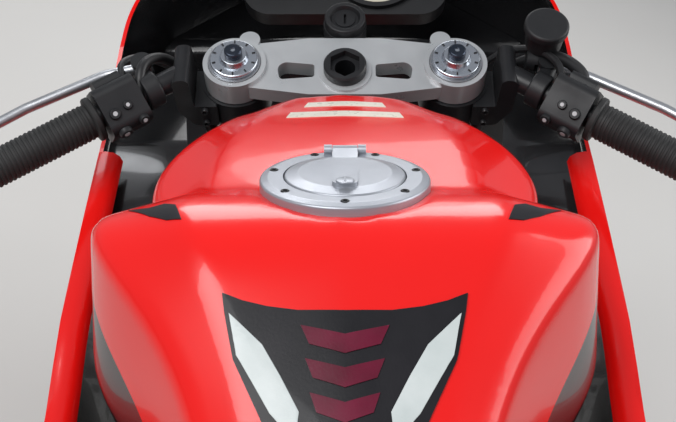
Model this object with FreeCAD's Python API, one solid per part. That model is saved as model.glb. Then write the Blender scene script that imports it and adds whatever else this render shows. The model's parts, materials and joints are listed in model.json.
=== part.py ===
"""Sport bike of the two-thousands, parked leaning on its side stand. Lengths are in millimetres.

The bike is drawn upright: +X to its front, +Y to its left, +Z up, the ground at Z 0, the rear axle at X -700.
park() then leans every piece onto the stand and puts the origin on the floor under the middle of the whole.
Pieces that steer are drawn round the steering axis first: X ahead of it, Z along it from the ground.
"""

import FreeCAD
import Part
import math
import os
from FreeCAD import Vector as V

# Stance
REAR_AXLE_X = -700.0
WHEELBASE = 1375.0
LEAN = 11.0
RAKE = 24.0
FORK_OFFSET = 7.7
STEERING_LOCK = 24.0
SEAT_GAP = 0.3
RUNNING_GAP = 0.05
CLEARANCE = 5.0

# Wheels: tyre radius, width and crown radius, bead seat radius and half width between the beads
FRONT_TYRE_R = 300.0
FRONT_TYRE_W = 120.0
FRONT_CROWN_R = 62.0
REAR_TYRE_R = 312.0
REAR_TYRE_W = 190.0
REAR_CROWN_R = 100.0
BEAD_R = 216.0
FRONT_BEAD_HALF = 44.4
REAR_BEAD_HALF = 76.2
RIM_FLANGE = 15.0
RIM_WALL = 14.0
SPOKE_ARMS = 5
FRONT_HUB_HALF = 50.0
REAR_HUB_HALF = 78.0
AXLE_R = 12.5
FRONT_DISC_R = 158.0
FRONT_DISC_Y = 62.0
DISC_THICK = 5.0
REAR_DISC_R = 110.0
REAR_DISC_Y = -108.0
BUTTON_HALF = 3.5
CALIPER_RADIUS = 137.0
SPROCKET_R = 108.0
DRIVE_SPROCKET_R = 40.0
CHAIN_Y = 116.0
CHAIN_INNER_HALF = 5.5
CHAIN_PLATE = 3.5

# Steering assembly, heights along the steering axis
STEM_R = 15.0
FORK_HALF_SPACING = 105.0
FORK_TUBE_R = 25.0
FORK_BOSS_R = 30.0
STANCHION_R = 21.5
LOWER_YOKE_BOTTOM = 745.0
LOWER_YOKE_TOP = 785.0
HEADSTOCK_BOTTOM = 790.0
HEADSTOCK_TOP = 921.0
TOP_YOKE_BOTTOM = 928.0
TOP_YOKE_TOP = 950.0
TOP_YOKE_FRONT = 42.0
STEM_HOLE_R = 10.0
FORK_TUBE_FOOT = 560.0
CLAMP_TOP = 923.0
CLAMP_LOW = 893.0
BAR_R = 11.1
GRIP_R = 16.5
GRIP_INNER = V(365.0, 228.0, 842.0)
BAR_DIRECTION = V(-60.0, 100.0, -29.0)
GRIP_LENGTH = 118.0
FRONT_STAND_BORE_R = 8.5
FRONT_STAND_BORE_LENGTH = 60.0

# Chassis
HEADSTOCK_R = 35.0
SPAR_THICK = 34.0
PIVOT = V(-130.0, 0.0, 405.0)
PIVOT_R = 28.0
PIVOT_BOLT_R = 12.0
SHOCK_TOP = V(-178.0, 0.0, 590.0)
SHOCK_LOW = V(-206.0, 0.0, 354.4)
TANK_REST_X = 330.0
TANK_REST_Z = 797.4
DRIVE_SPROCKET = V(-45.0, 0.0, 415.0)
FRAME_HALF = 160.0
ARM_INNER = 130.0
ARM_THICK = 30.0
SPOOL_BORE_R = 4.0
SPOOL_BORE_LENGTH = 18.0
FAIRING_WALL = 4.0
CAP_R = 62.0
CAP_LID_R = 44.0
CAP_CENTRE = V(150.0, 0.0, 905.5)
CAP_SLOPE = 12.6
STAND_PIVOT = V(-66.0, 136.0, 286.0)
STAND_FOOT = V(6.0, 258.0, 258.0 * math.tan(math.radians(LEAN)))
STAND_BOLT_R = 6.0
STAND_FOLDED = V(-0.973, 0.135, -0.19)

STEP_FOLDER = "parts"
ORIGIN = V(0, 0, 0)
ACROSS = V(0, 1, 0)


def axle_height(tyre_r, crown_r):
    """Height of an axle whose leaning tyre just touches the ground."""
    return tyre_r + crown_r * (1 / math.cos(math.radians(LEAN)) - 1)


FRONT_AXLE = V(REAR_AXLE_X + WHEELBASE, 0, axle_height(FRONT_TYRE_R, FRONT_CROWN_R))
REAR_AXLE = V(REAR_AXLE_X, 0, axle_height(REAR_TYRE_R, REAR_CROWN_R))
SIN_RAKE = math.sin(math.radians(RAKE))
COS_RAKE = math.cos(math.radians(RAKE))
TRAIL = (FRONT_AXLE.z * SIN_RAKE - FORK_OFFSET) / COS_RAKE
STEER_FOOT = FRONT_AXLE + V(TRAIL, 0, -FRONT_AXLE.z)
STEER_AXIS = V(-SIN_RAKE, 0, COS_RAKE)
AXLE_ALONG_STEM = (FRONT_AXLE - STEER_FOOT).dot(STEER_AXIS)


def to_steering(point):
    """A point of the upright bike, in the steering assembly's own axes."""
    offset = point - STEER_FOOT
    return V(offset.x * COS_RAKE + offset.z * SIN_RAKE, offset.y, offset.dot(STEER_AXIS))


def steer(shape):
    """Moves a shape from the steering assembly's axes to the upright bike."""
    turned = shape.copy()
    turned.rotate(ORIGIN, ACROSS, -RAKE)
    turned.translate(STEER_FOOT)
    return turned


def rounded_wire(corners, closed=True):
    """Wire through (point, radius) corners, each rounded by a tangent arc."""
    edges = []
    last = None
    count = len(corners)
    for i, (point, radius) in enumerate(corners):
        is_end = not closed and i in (0, count - 1)
        if radius <= 0 or is_end:
            start, middle, end = point, None, point
        else:
            back = (corners[i - 1][0] - point).normalize()
            ahead = (corners[(i + 1) % count][0] - point).normalize()
            half = back.getAngle(ahead) / 2
            bisector = (back + ahead).normalize()
            start = point + back * (radius / math.tan(half))
            end = point + ahead * (radius / math.tan(half))
            middle = point + bisector * (radius / math.sin(half) - radius)
        if last is None:
            first = start
        elif last.distanceToPoint(start) > 1e-4:
            edges.append(Part.LineSegment(last, start).toShape())
        if middle is not None:
            edges.append(Part.Arc(start, middle, end).toShape())
        last = end
    if closed and last.distanceToPoint(first) > 1e-4:
        edges.append(Part.LineSegment(last, first).toShape())
    return Part.Wire(edges)


PLANES = {
    "x": lambda u, v, d: V(d, u, v),
    "y": lambda u, v, d: V(u, d, v),
    "z": lambda u, v, d: V(u, v, d),
}


def prism(axis, low, high, outline):
    """Solid from low to high along an axis; the outline's rows are (u, v, corner radius)."""
    at = PLANES[axis]
    wire = rounded_wire([(at(u, v, low), r) for u, v, r in outline])
    return Part.Face(wire).extrude(at(0, 0, high - low))


def turned(rows, centre=ORIGIN, axis="y", angle=360.0):
    """Solid of revolution; rows are (place along the axis, radius, corner radius)."""
    at = (lambda s, r: V(0, s, r)) if axis == "y" else (lambda s, r: V(r, 0, s))
    face = Part.Face(rounded_wire([(at(s, r), c) for s, r, c in rows]))
    direction = ACROSS if axis == "y" else V(0, 0, 1)
    solid = face.revolve(ORIGIN, direction, angle)
    solid.translate(centre)
    return solid


def rod(start, end, radius):
    """Cylinder between two points."""
    return Part.makeCylinder(radius, start.distanceToPoint(end), start, end - start)


def tube(points, radius, bend):
    """Round bar along straight runs joined by tangent arcs."""
    path = rounded_wire([(p, bend) for p in points], closed=False)
    ring = Part.Wire(Part.makeCircle(radius, points[0], points[1] - points[0]))
    return path.makePipeShell([ring], True, True)


def fused(*shapes):
    """One solid from pieces that meet."""
    return shapes[0].multiFuse(list(shapes[1:]))


def mirrored(shape):
    return shape.mirror(ORIGIN, ACROSS)


def both_sides(shape):
    """A piece and its twin on the other side."""
    return Part.makeCompound([shape, mirrored(shape)])


def around(shape, count, centre=ORIGIN, axis=ACROSS):
    """Copies of a shape, evenly spaced round an axis."""
    copies = []
    for i in range(count):
        copy = shape.copy()
        copy.rotate(centre, axis, 360.0 * i / count)
        copies.append(copy)
    return copies


def aligned(shape, place, direction):
    """Moves a shape drawn up the Z axis to a place, pointing along a direction."""
    moved = shape.copy()
    moved.Placement = FreeCAD.Placement(place, FreeCAD.Rotation(V(0, 0, 1), direction))
    return moved


def loft(wires):
    """Smooth solid through closed wires of like edges."""
    return Part.makeLoft(wires, True, False)


# Wheels


def tyre(radius, width, bead_half):
    """Hollow tyre: a round crown, bulging sidewalls and beads on the rim's seat."""
    side = width / 2
    shoulder_y, shoulder_r = side * 0.93, radius - side * 0.58
    bead_top = BEAD_R + 18
    toe_y, toe_r = bead_half - 14, BEAD_R + 14
    wall = 13
    crown = Part.Arc(V(0, -shoulder_y, shoulder_r), V(0, 0, radius), V(0, shoulder_y, shoulder_r))
    left = Part.Arc(V(0, shoulder_y, shoulder_r), V(0, side, shoulder_r - 18), V(0, bead_half, bead_top))
    right = Part.Arc(V(0, -bead_half, bead_top), V(0, -side, shoulder_r - 18), V(0, -shoulder_y, shoulder_r))
    inside = Part.Arc(V(0, toe_y, toe_r), V(0, 0, radius - wall), V(0, -toe_y, toe_r))
    foot = [
        V(0, bead_half, bead_top), V(0, bead_half, BEAD_R), V(0, toe_y, BEAD_R), V(0, toe_y, toe_r),
    ]
    other_foot = [V(0, -p.y, p.z) for p in reversed(foot)]
    edges = [crown.toShape(), left.toShape()]
    edges += [Part.LineSegment(a, b).toShape() for a, b in zip(foot, foot[1:])]
    edges += [inside.toShape()]
    edges += [Part.LineSegment(a, b).toShape() for a, b in zip(other_foot, other_foot[1:])]
    edges += [right.toShape()]
    return Part.Face(Part.Wire(edges)).revolve(ORIGIN, ACROSS, 360)


def rim(bead_half, hub_half, hub_r, depth_hub, depth_rim):
    """Cast wheel: a barrel with flanges, and forked spokes from a bored hub."""
    seat = BEAD_R - SEAT_GAP
    bead = bead_half + SEAT_GAP
    edge = bead + 8
    barrel = turned([
        (-edge, seat + RIM_FLANGE, 3), (-bead, seat + RIM_FLANGE, 3), (-bead, seat, 0),
        (bead, seat, 0), (bead, seat + RIM_FLANGE, 3), (edge, seat + RIM_FLANGE, 3),
        (edge, seat - 8, 5), (edge - 18, seat - RIM_WALL, 5),
        (-edge + 18, seat - RIM_WALL, 5), (-edge, seat - 8, 5),
    ])
    reach = seat - 8
    arm = prism("y", -60, 60, [
        (15, hub_r - 8, 0), (14, 95, 24), (reach * 0.33, reach * 0.94, 0), (reach * 0.22, reach * 0.97, 0),
        (0, 126, 9), (-reach * 0.22, reach * 0.97, 0), (-reach * 0.33, reach * 0.94, 0),
        (-14, 95, 24), (-15, hub_r - 8, 0),
    ])
    slab = turned([
        (-depth_hub, 10, 0), (depth_hub, 10, 0), (depth_hub, hub_r, 8), (depth_rim, 150, 60),
        (depth_rim, seat - 5, 0), (-depth_rim, seat - 5, 0), (-depth_rim, 150, 60), (-depth_hub, hub_r, 8),
    ])
    spokes = fused(*around(arm, SPOKE_ARMS)).common(slab)
    hub = rod(V(0, -hub_half, 0), V(0, hub_half, 0), hub_r)
    bore = rod(V(0, -hub_half - 1, 0), V(0, hub_half + 1, 0), AXLE_R + RUNNING_GAP)
    return fused(barrel, spokes, hub).cut(bore)


def front_wheel():
    wheel = rim(FRONT_BEAD_HALF, FRONT_HUB_HALF, 34, 34, 17)
    rubber = tyre(FRONT_TYRE_R, FRONT_TYRE_W, FRONT_BEAD_HALF)
    for shape in (wheel, rubber):
        shape.translate(FRONT_AXLE)
    return {"front_rim": wheel, "front_tyre": rubber, "front_discs": both_sides(front_disc())}


def front_disc():
    """Drilled ring carried by a cut-out centre on buttons."""
    inner, outer = FRONT_DISC_Y - DISC_THICK / 2, FRONT_DISC_Y + DISC_THICK / 2
    ring = turned([(inner, 120, 0), (outer, 120, 0), (outer, FRONT_DISC_R, 0.8), (inner, FRONT_DISC_R, 0.8)])
    holes = []
    for row, (radius, count) in enumerate(((128, 12), (139, 12), (150, 12))):
        turn = math.radians(10.0 * row)
        place = V(radius * math.sin(turn), inner - 1, radius * math.cos(turn))
        holes += around(rod(place, place + V(0, DISC_THICK + 2, 0), 3.2), count)
    carrier_in = FRONT_HUB_HALF + SEAT_GAP
    carrier = turned([
        (carrier_in, AXLE_R + 10, 0), (carrier_in + 6, AXLE_R + 10, 0), (carrier_in + 6, 60, 6),
        (FRONT_DISC_Y + 2, 70, 6), (FRONT_DISC_Y + 2, 112, 0), (FRONT_DISC_Y - 3, 112, 0),
        (FRONT_DISC_Y - 3, 74, 6), (carrier_in, 64, 6),
    ])
    window = prism("y", carrier_in - 5, FRONT_DISC_Y + 6, [(-16, 76, 6), (16, 76, 6), (20, 102, 6), (-20, 102, 6)])
    button = rod(V(0, FRONT_DISC_Y - BUTTON_HALF, 116), V(0, FRONT_DISC_Y + BUTTON_HALF, 116), 7)
    disc = fused(ring.cut(Part.makeCompound(holes)), carrier.cut(Part.makeCompound(around(window, 8))))
    spin = math.degrees(math.pi / 8)
    button.rotate(ORIGIN, ACROSS, spin)
    disc = fused(disc, *around(button, 8))
    disc.translate(FRONT_AXLE)
    return disc


def rear_wheel():
    wheel = rim(REAR_BEAD_HALF, REAR_HUB_HALF, 48, 44, 24)
    rubber = tyre(REAR_TYRE_R, REAR_TYRE_W, REAR_BEAD_HALF)
    bore_r = AXLE_R + RUNNING_GAP
    inner, outer = REAR_DISC_Y + DISC_THICK / 2, REAR_DISC_Y - DISC_THICK / 2
    ring = turned([(outer, 78, 0), (inner, 78, 0), (inner, REAR_DISC_R, 0.8), (outer, REAR_DISC_R, 0.8)])
    place = V(0, outer - 1, 94)
    ring = ring.cut(Part.makeCompound(around(rod(place, place + V(0, DISC_THICK + 2, 0), 3.2), 18)))
    seat = -REAR_HUB_HALF - SEAT_GAP
    carrier = turned([
        (seat, bore_r + 4, 0), (seat, 42, 0), (inner + 8, 50, 4), (inner, 80, 0), (outer, 80, 0), (outer, 60, 4),
        (seat - 12, 34, 4), (seat - 12, bore_r + 4, 0),
    ])
    disc = fused(ring, carrier)
    teeth = [
        prism("y", CHAIN_Y - 3, CHAIN_Y + 3, [(-5.5, SPROCKET_R - 12, 0), (5.5, SPROCKET_R - 12, 0),
                                              (2.2, SPROCKET_R + 3, 0), (-2.2, SPROCKET_R + 3, 0)])
    ]
    window = prism("y", CHAIN_Y - 5, CHAIN_Y + 5, [(-16, 64, 6), (16, 64, 6), (19, 88, 6), (-19, 88, 6)])
    plate = turned([
        (CHAIN_Y - 3, 44, 0), (CHAIN_Y + 3, 44, 0), (CHAIN_Y + 3, SPROCKET_R - 8, 0), (CHAIN_Y - 3, SPROCKET_R - 8, 0),
    ]).cut(Part.makeCompound(around(window, 6)))
    carrier_end = REAR_HUB_HALF + SEAT_GAP
    cush = turned([
        (carrier_end, bore_r + 4, 0), (carrier_end, 56, 4), (CHAIN_Y - 3, 56, 4), (CHAIN_Y - 3, bore_r + 4, 0),
    ])
    sprocket = fused(plate, cush, *around(teeth[0], 43))
    for shape in (wheel, rubber, disc, sprocket):
        shape.translate(REAR_AXLE)
    return {"rear_rim": wheel, "rear_tyre": rubber, "rear_disc": disc, "rear_sprocket": sprocket}


# Steering


def yoke_outline(front, back):
    """Web of a yoke between its stem and fork bosses, seen from above."""
    wide = FORK_HALF_SPACING - 4
    near, far = FORK_OFFSET - 25, FORK_OFFSET + 25
    return [
        (back, 34, 18), (near, wide, 10), (far, wide, 10), (front, 34, 30),
        (front, -34, 30), (far, -wide, 10), (near, -wide, 10), (back, -34, 18),
    ]


def fork_rods(radius, low, high, y_offset=0.0):
    """Cylinders on the two fork axes, in the steering axes."""
    return [
        rod(V(FORK_OFFSET, side * FORK_HALF_SPACING, low), V(FORK_OFFSET, side * FORK_HALF_SPACING, high), radius)
        for side in (-1, 1)
    ]


def top_yoke():
    """Cast top yoke with raised fork bosses, pinch lugs and two slots."""
    web = prism("z", TOP_YOKE_BOTTOM, TOP_YOKE_TOP - 5, yoke_outline(TOP_YOKE_FRONT, -27))
    stem_boss = rod(V(0, 0, TOP_YOKE_BOTTOM), V(0, 0, TOP_YOKE_TOP - 2), 25)
    bosses = fork_rods(FORK_BOSS_R, TOP_YOKE_BOTTOM - 4, TOP_YOKE_TOP)
    lug_x, lug_y = FORK_OFFSET + 31, FORK_HALF_SPACING - 13
    lugs = [
        rod(V(lug_x, s * lug_y, TOP_YOKE_BOTTOM - 2), V(lug_x, s * lug_y, TOP_YOKE_TOP - 3), 10) for s in (-1, 1)
    ]
    body = fused(web, stem_boss, *bosses, *lugs)
    slot = prism("z", TOP_YOKE_BOTTOM - 10, TOP_YOKE_TOP + 5, [(-6, 29, 3), (-9, 62, 4), (13, 66, 9), (9, 29, 3)])
    cuts = fork_rods(FORK_TUBE_R + SEAT_GAP, TOP_YOKE_BOTTOM - 10, TOP_YOKE_TOP + 5)
    cuts += [rod(V(0, 0, TOP_YOKE_BOTTOM - 10), V(0, 0, TOP_YOKE_TOP + 5), STEM_R + SEAT_GAP), slot, mirrored(slot)]
    return steer(body.cut(Part.makeCompound(cuts)))


def lower_yoke():
    """Lower yoke with the hollow stem pressed in, its nut on top and the front stand's hole in its foot."""
    web = prism("z", LOWER_YOKE_BOTTOM, LOWER_YOKE_TOP, yoke_outline(40, -24))
    body = fused(web, *fork_rods(FORK_BOSS_R + 2, LOWER_YOKE_BOTTOM, LOWER_YOKE_TOP))
    body = body.cut(Part.makeCompound(fork_rods(FORK_TUBE_R + SEAT_GAP, LOWER_YOKE_BOTTOM - 5, LOWER_YOKE_TOP + 5)))
    nut_seat = TOP_YOKE_TOP - 2 + SEAT_GAP
    stem = rod(V(0, 0, LOWER_YOKE_BOTTOM), V(0, 0, nut_seat + 6), STEM_R)
    nut = turned([(nut_seat, 4, 0), (nut_seat + 9, 4, 0), (nut_seat + 9, 20, 2), (nut_seat, 20, 0)], axis="z")
    hexagon = [(16 * math.cos(k * math.pi / 3), 16 * math.sin(k * math.pi / 3), 0) for k in range(6)]
    bore_end = LOWER_YOKE_BOTTOM + FRONT_STAND_BORE_LENGTH
    holes = [
        prism("z", nut_seat + 2, nut_seat + 12, hexagon),
        rod(V(0, 0, LOWER_YOKE_BOTTOM - 1), V(0, 0, bore_end + 1), FRONT_STAND_BORE_R),
        rod(V(0, 0, bore_end), V(0, 0, nut_seat + 12), STEM_HOLE_R),
    ]
    return steer(fused(body, stem, nut).cut(Part.makeCompound(holes)))


def fork_tubes():
    """Outer tubes, open below for the stanchions."""
    top = TOP_YOKE_TOP + 2
    shapes = []
    for outer, bore in zip(
        fork_rods(FORK_TUBE_R, FORK_TUBE_FOOT, top),
        fork_rods(STANCHION_R + SEAT_GAP, FORK_TUBE_FOOT - 1, FORK_TUBE_FOOT + 60),
    ):
        shapes.append(outer.cut(bore))
    return steer(Part.makeCompound(shapes))


def fork_caps():
    """Screwed caps with a preload knob, on top of the tubes."""
    low = TOP_YOKE_TOP + 2 + SEAT_GAP
    shapes = []
    for side in (-1, 1):
        cap = turned([
            (low, 0, 0), (low, 23, 0), (low + 4, 23, 2), (low + 4, 14, 0), (low + 9, 12, 1),
            (low + 9, 8, 0), (low + 15, 7, 2), (low + 15, 0, 0),
        ], axis="z")
        cap.translate(V(FORK_OFFSET, side * FORK_HALF_SPACING, 0))
        shapes.append(cap)
    return steer(Part.makeCompound(shapes))


def fork_feet():
    """Stanchions and axle clamps, joined by the axle; lugs behind carry the calipers."""
    low = AXLE_ALONG_STEM
    pieces = []
    for side in (-1, 1):
        y = side * FORK_HALF_SPACING
        pieces.append(rod(V(FORK_OFFSET, y, low + 20), V(FORK_OFFSET, y, FORK_TUBE_FOOT + 50), STANCHION_R))
        pieces.append(rod(V(FORK_OFFSET, y, low + 10), V(FORK_OFFSET, y, low + 95), 28))
        pieces.append(rod(V(FORK_OFFSET, y - 27, low), V(FORK_OFFSET, y + 27, low), 27))
        lug = [(0, 28, 0), (0, 95, 0), (-52, 118, 8), (-72, 108, 8), (-70, 92, 8), (-50, 86, 8), (-48, 52, 8),
               (-72, 22, 8), (-60, 6, 8)]
        lug = [(FORK_OFFSET + x, low + z, r) for x, z, r in lug]
        near = side * (FRONT_DISC_Y + 30 + SEAT_GAP)
        far = near + side * 20
        pieces.append(prism("y", min(near, far), max(near, far), lug))
    reach = FORK_HALF_SPACING + 30
    pieces.append(rod(V(FORK_OFFSET, -reach, low), V(FORK_OFFSET, reach, low), AXLE_R))
    spacer_in = FRONT_HUB_HALF + 10
    for side in (-1, 1):
        pieces.append(rod(V(FORK_OFFSET, side * spacer_in, low), V(FORK_OFFSET, side * 80, low), 19))
    return steer(fused(*pieces))


def front_calipers():
    """Four-piston bodies that straddle the discs behind the fork feet."""
    centre = V(-62, 0, 78)
    slot_half = BUTTON_HALF + CLEARANCE
    rim_gap = FRONT_DISC_R + CLEARANCE + 1 - CALIPER_RADIUS
    inner, outer = FRONT_DISC_Y - 24, FRONT_DISC_Y + 27
    body = prism("y", inner, outer, [(-60, -30, 14), (58, -30, 14), (58, 40, 16), (-60, 40, 16)])
    slot = prism("y", FRONT_DISC_Y - slot_half, FRONT_DISC_Y + slot_half,
                 [(-70, -40, 0), (70, -40, 0), (70, rim_gap, 0), (-70, rim_gap, 0)])
    bulges = [rod(V(x, outer - 4, -4), V(x, outer + 3, -4), 15) for x in (-26, 24)]
    body = fused(body, *bulges).cut(slot)
    body.rotate(ORIGIN, ACROSS, -math.degrees(math.atan2(-centre.x, centre.z)) + 6)
    body.translate(V(FORK_OFFSET, 0, AXLE_ALONG_STEM) + centre.normalize() * CALIPER_RADIUS)
    return steer(both_sides(body))


def bar_point(outward):
    """Point on the left bar's axis, that far outboard of the grip's inner end along the bar."""
    unit = V(BAR_DIRECTION).normalize()
    return to_steering(GRIP_INNER + unit * outward)


def bar_unit():
    return (bar_point(1) - bar_point(0)).normalize()


def clip_ons():
    """Clamps under the top yoke that carry the bars and the weights at their ends."""
    low, high = CLAMP_LOW, CLAMP_TOP
    clamp = rod(V(FORK_OFFSET, FORK_HALF_SPACING, low), V(FORK_OFFSET, FORK_HALF_SPACING, high), 33)
    level = bar_point(-70).z
    arm = prism("x", -24, 20, [
        (122, low, 4), (146, low, 8), (160, high - 8, 10), (162, level + 12, 8), (146, level + 14, 6),
        (144, high - 1, 2), (122, high - 1, 2),
    ])
    bar = rod(bar_point(-90), bar_point(GRIP_LENGTH + 6), BAR_R)
    weight = turned([(0, 0, 0), (0, 13, 0), (4, 15.5, 2), (24, 15.5, 3), (30, 11, 2), (30, 0, 0)], axis="z")
    weight = aligned(weight, bar_point(GRIP_LENGTH + 4), bar_unit())
    hole = rod(V(FORK_OFFSET, FORK_HALF_SPACING, low - 5), V(FORK_OFFSET, FORK_HALF_SPACING, high + 5),
               FORK_TUBE_R + SEAT_GAP)
    return steer(both_sides(fused(clamp, arm, bar, weight).cut(hole)))


def sleeve(start, end, radius, hole=BAR_R + SEAT_GAP, edge=2.0):
    """Tube round the bar between two distances from the grip's inner end."""
    shape = turned([(0, hole, 0), (0, radius, edge), (end - start, radius, edge), (end - start, hole, 0)], axis="z")
    return aligned(shape, bar_point(start), bar_unit())


def grips():
    """Rubber grips with a flange."""
    rows = [(0, BAR_R + SEAT_GAP, 0), (0, 21, 1.5), (6, 21, 1.5), (8, GRIP_R, 1), (GRIP_LENGTH, GRIP_R + 0.5, 2),
            (GRIP_LENGTH, BAR_R + SEAT_GAP, 0)]
    grip = aligned(turned(rows, axis="z"), bar_point(0), bar_unit())
    return steer(both_sides(grip))


def bar_controls():
    """Switch housings on both bars, the brake's master cylinder and the clutch perch."""
    housing = prism("z", 0, 40, [(-24, -24, 9), (22, -24, 9), (24, 27, 10), (-26, 22, 9)])
    nose = prism("z", 8, 34, [(18, -14, 5), (30, -12, 5), (30, 10, 5), (18, 14, 5)])
    housing = aligned(fused(housing, nose), bar_point(-43), bar_unit())
    clamp = sleeve(-64, -48, 17)
    pivot = lever_pivot()
    perch = fused(rod(bar_point(-56), pivot + V(-6, 0, 0), 9), rod(pivot - V(0, 0, 11), pivot + V(0, 0, 11), 10))
    gap = rod(pivot - V(0, 0, 5.6), pivot + V(0, 0, 5.6), 13)
    perch = fused(clamp, perch).cut(gap)
    bar_space = rod(bar_point(-80), bar_point(10), BAR_R + SEAT_GAP)
    left = fused(housing.cut(bar_space), perch.cut(bar_space))
    cup_place = pivot + V(20, -4, 10)
    cylinder = rod(pivot + V(6, 4, 0), pivot + V(9, -20, 2), 10)
    cup = turned([(0, 0, 0), (0, 17, 3), (22, 19, 1), (22, 21, 1), (30, 21, 3), (30, 0, 0)], axis="z")
    cup.translate(cup_place)
    stalk = rod(cup_place - V(6, 0, 12), cup_place + V(0, 0, 4), 8)
    right = mirrored(fused(left, cylinder, cup, stalk).cut(gap))
    return steer(Part.makeCompound([left, right]))


def lever_pivot():
    return bar_point(-40) + V(40, -2, -4)


def hand_levers():
    """Dog-leg levers ahead of the grips, each with a ball end."""
    pivot = lever_pivot()
    unit = bar_unit()
    ahead = V(0, 0, 1).cross(unit).normalize() * -1
    knee = pivot + unit * 34 + ahead * 12
    tip = bar_point(GRIP_LENGTH - 2) + ahead * 46 + V(0, 0, -2)
    middle = bar_point(50) + ahead * 50 + V(0, 0, -4)
    blade = tube([pivot, knee, middle, tip], 5, 40)
    eye = rod(pivot - V(0, 0, 5), pivot + V(0, 0, 5), 9)
    ball = Part.makeSphere(8, tip)
    return steer(both_sides(fused(blade, eye, ball)))


def ignition_lock():
    """Lock barrel ahead of the stem, under a round trim ring."""
    place = TOP_YOKE_FRONT + SEAT_GAP + 21 - 8
    low = TOP_YOKE_BOTTOM - 40
    body = rod(V(place + 8, 0, low), V(place + 8, 0, TOP_YOKE_TOP - 8), 21)
    ring = turned([(TOP_YOKE_TOP - 8, 10, 0), (TOP_YOKE_TOP - 8, 20, 0), (TOP_YOKE_TOP + 2, 20, 2),
                   (TOP_YOKE_TOP + 2, 15, 1), (TOP_YOKE_TOP - 2, 13, 0), (TOP_YOKE_TOP - 2, 10, 0)], axis="z")
    ring.translate(V(place + 8, 0, 0))
    barrel = rod(V(place + 8, 0, TOP_YOKE_TOP - 9), V(place + 8, 0, TOP_YOKE_TOP - 1), 10)
    key_slot = prism("z", TOP_YOKE_TOP - 5, TOP_YOKE_TOP + 3, [
        (place + 2, -1.2, 0), (place + 14, -1.2, 0), (place + 14, 1.2, 0), (place + 2, 1.2, 0)])
    return steer(fused(body, ring, barrel).cut(key_slot))


def front_mudguard():
    """Thin arch over the tyre, with cheeks that reach the fork legs."""
    inner_r, wall, half = FRONT_TYRE_R + 14, 3.0, 70
    drop = 34
    skin = []
    for extra in (wall, 0):
        arch = Part.Arc(V(0, -half - extra, inner_r - drop), V(0, 0, inner_r + extra), V(0, half + extra, inner_r - drop))
        skin.append(arch)
    outer, inner = skin
    edges = [
        outer.toShape(), inner.toShape(),
        Part.LineSegment(outer.StartPoint, inner.StartPoint).toShape(),
        Part.LineSegment(outer.EndPoint, inner.EndPoint).toShape(),
    ]
    face = Part.Face(Part.Wire(Part.__sortEdges__(edges)))
    arch = face.revolve(ORIGIN, ACROSS, 150)
    arch.rotate(ORIGIN, ACROSS, -112)
    trim = prism("y", -120, 120, [
        (-360, 60, 0), (-292, 78, 30), (-232, 150, 60), (-60, 210, 60), (80, 262, 60), (170, 232, 30), (260, 250, 0),
        (360, 330, 0), (200, 380, 0), (-360, 380, 0),
    ])
    arch = arch.common(trim)
    cheek = prism("y", half - 1, half + wall, [
        (-118, 196, 10), (60, 196, 10), (52, 262, 20), (10, 288, 10), (-90, 284, 10),
    ])
    tab = rod(V(0, half + wall - 1, 212), V(0, FORK_HALF_SPACING - STANCHION_R - SEAT_GAP, 212), 9)
    cheek = fused(cheek, tab)
    guard = fused(arch, cheek, mirrored(cheek))
    guard.translate(V(FORK_OFFSET, 0, AXLE_ALONG_STEM))
    return steer(guard)


# Chassis


def crossed(side_outline, plan_outline, half=400):
    """Solid with one outline seen from the side and another seen from above."""
    return prism("y", -half, half, side_outline).common(prism("z", 0, 1200, plan_outline))


FRAME_SIDE = [
    (462, 834, 12), (330, 792, 60), (150, 716, 120), (-30, 610, 60), (-96, 500, 60), (-176, 430, 20),
    (-182, 306, 16), (-112, 298, 16), (-84, 360, 30), (-36, 450, 60), (90, 545, 90), (300, 652, 90), (452, 690, 12),
]
PLATE_THICK = 22.0


def frame_space():
    """Room that the frame takes in side view."""
    return grown_prism(FRAME_SIDE)


def steering_room(low, high):
    """Room that the turning forks and bar clamps need behind them, between two heights along the steering axis."""
    side = prism("z", low, high, [
        (140, 63, 0), (-44, 63, 12), (-70, 82, 20), (-92, 130, 30), (-106, 190, 0), (140, 190, 0)])
    return steer(Part.makeCompound([side, mirrored(side)]))


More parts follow.
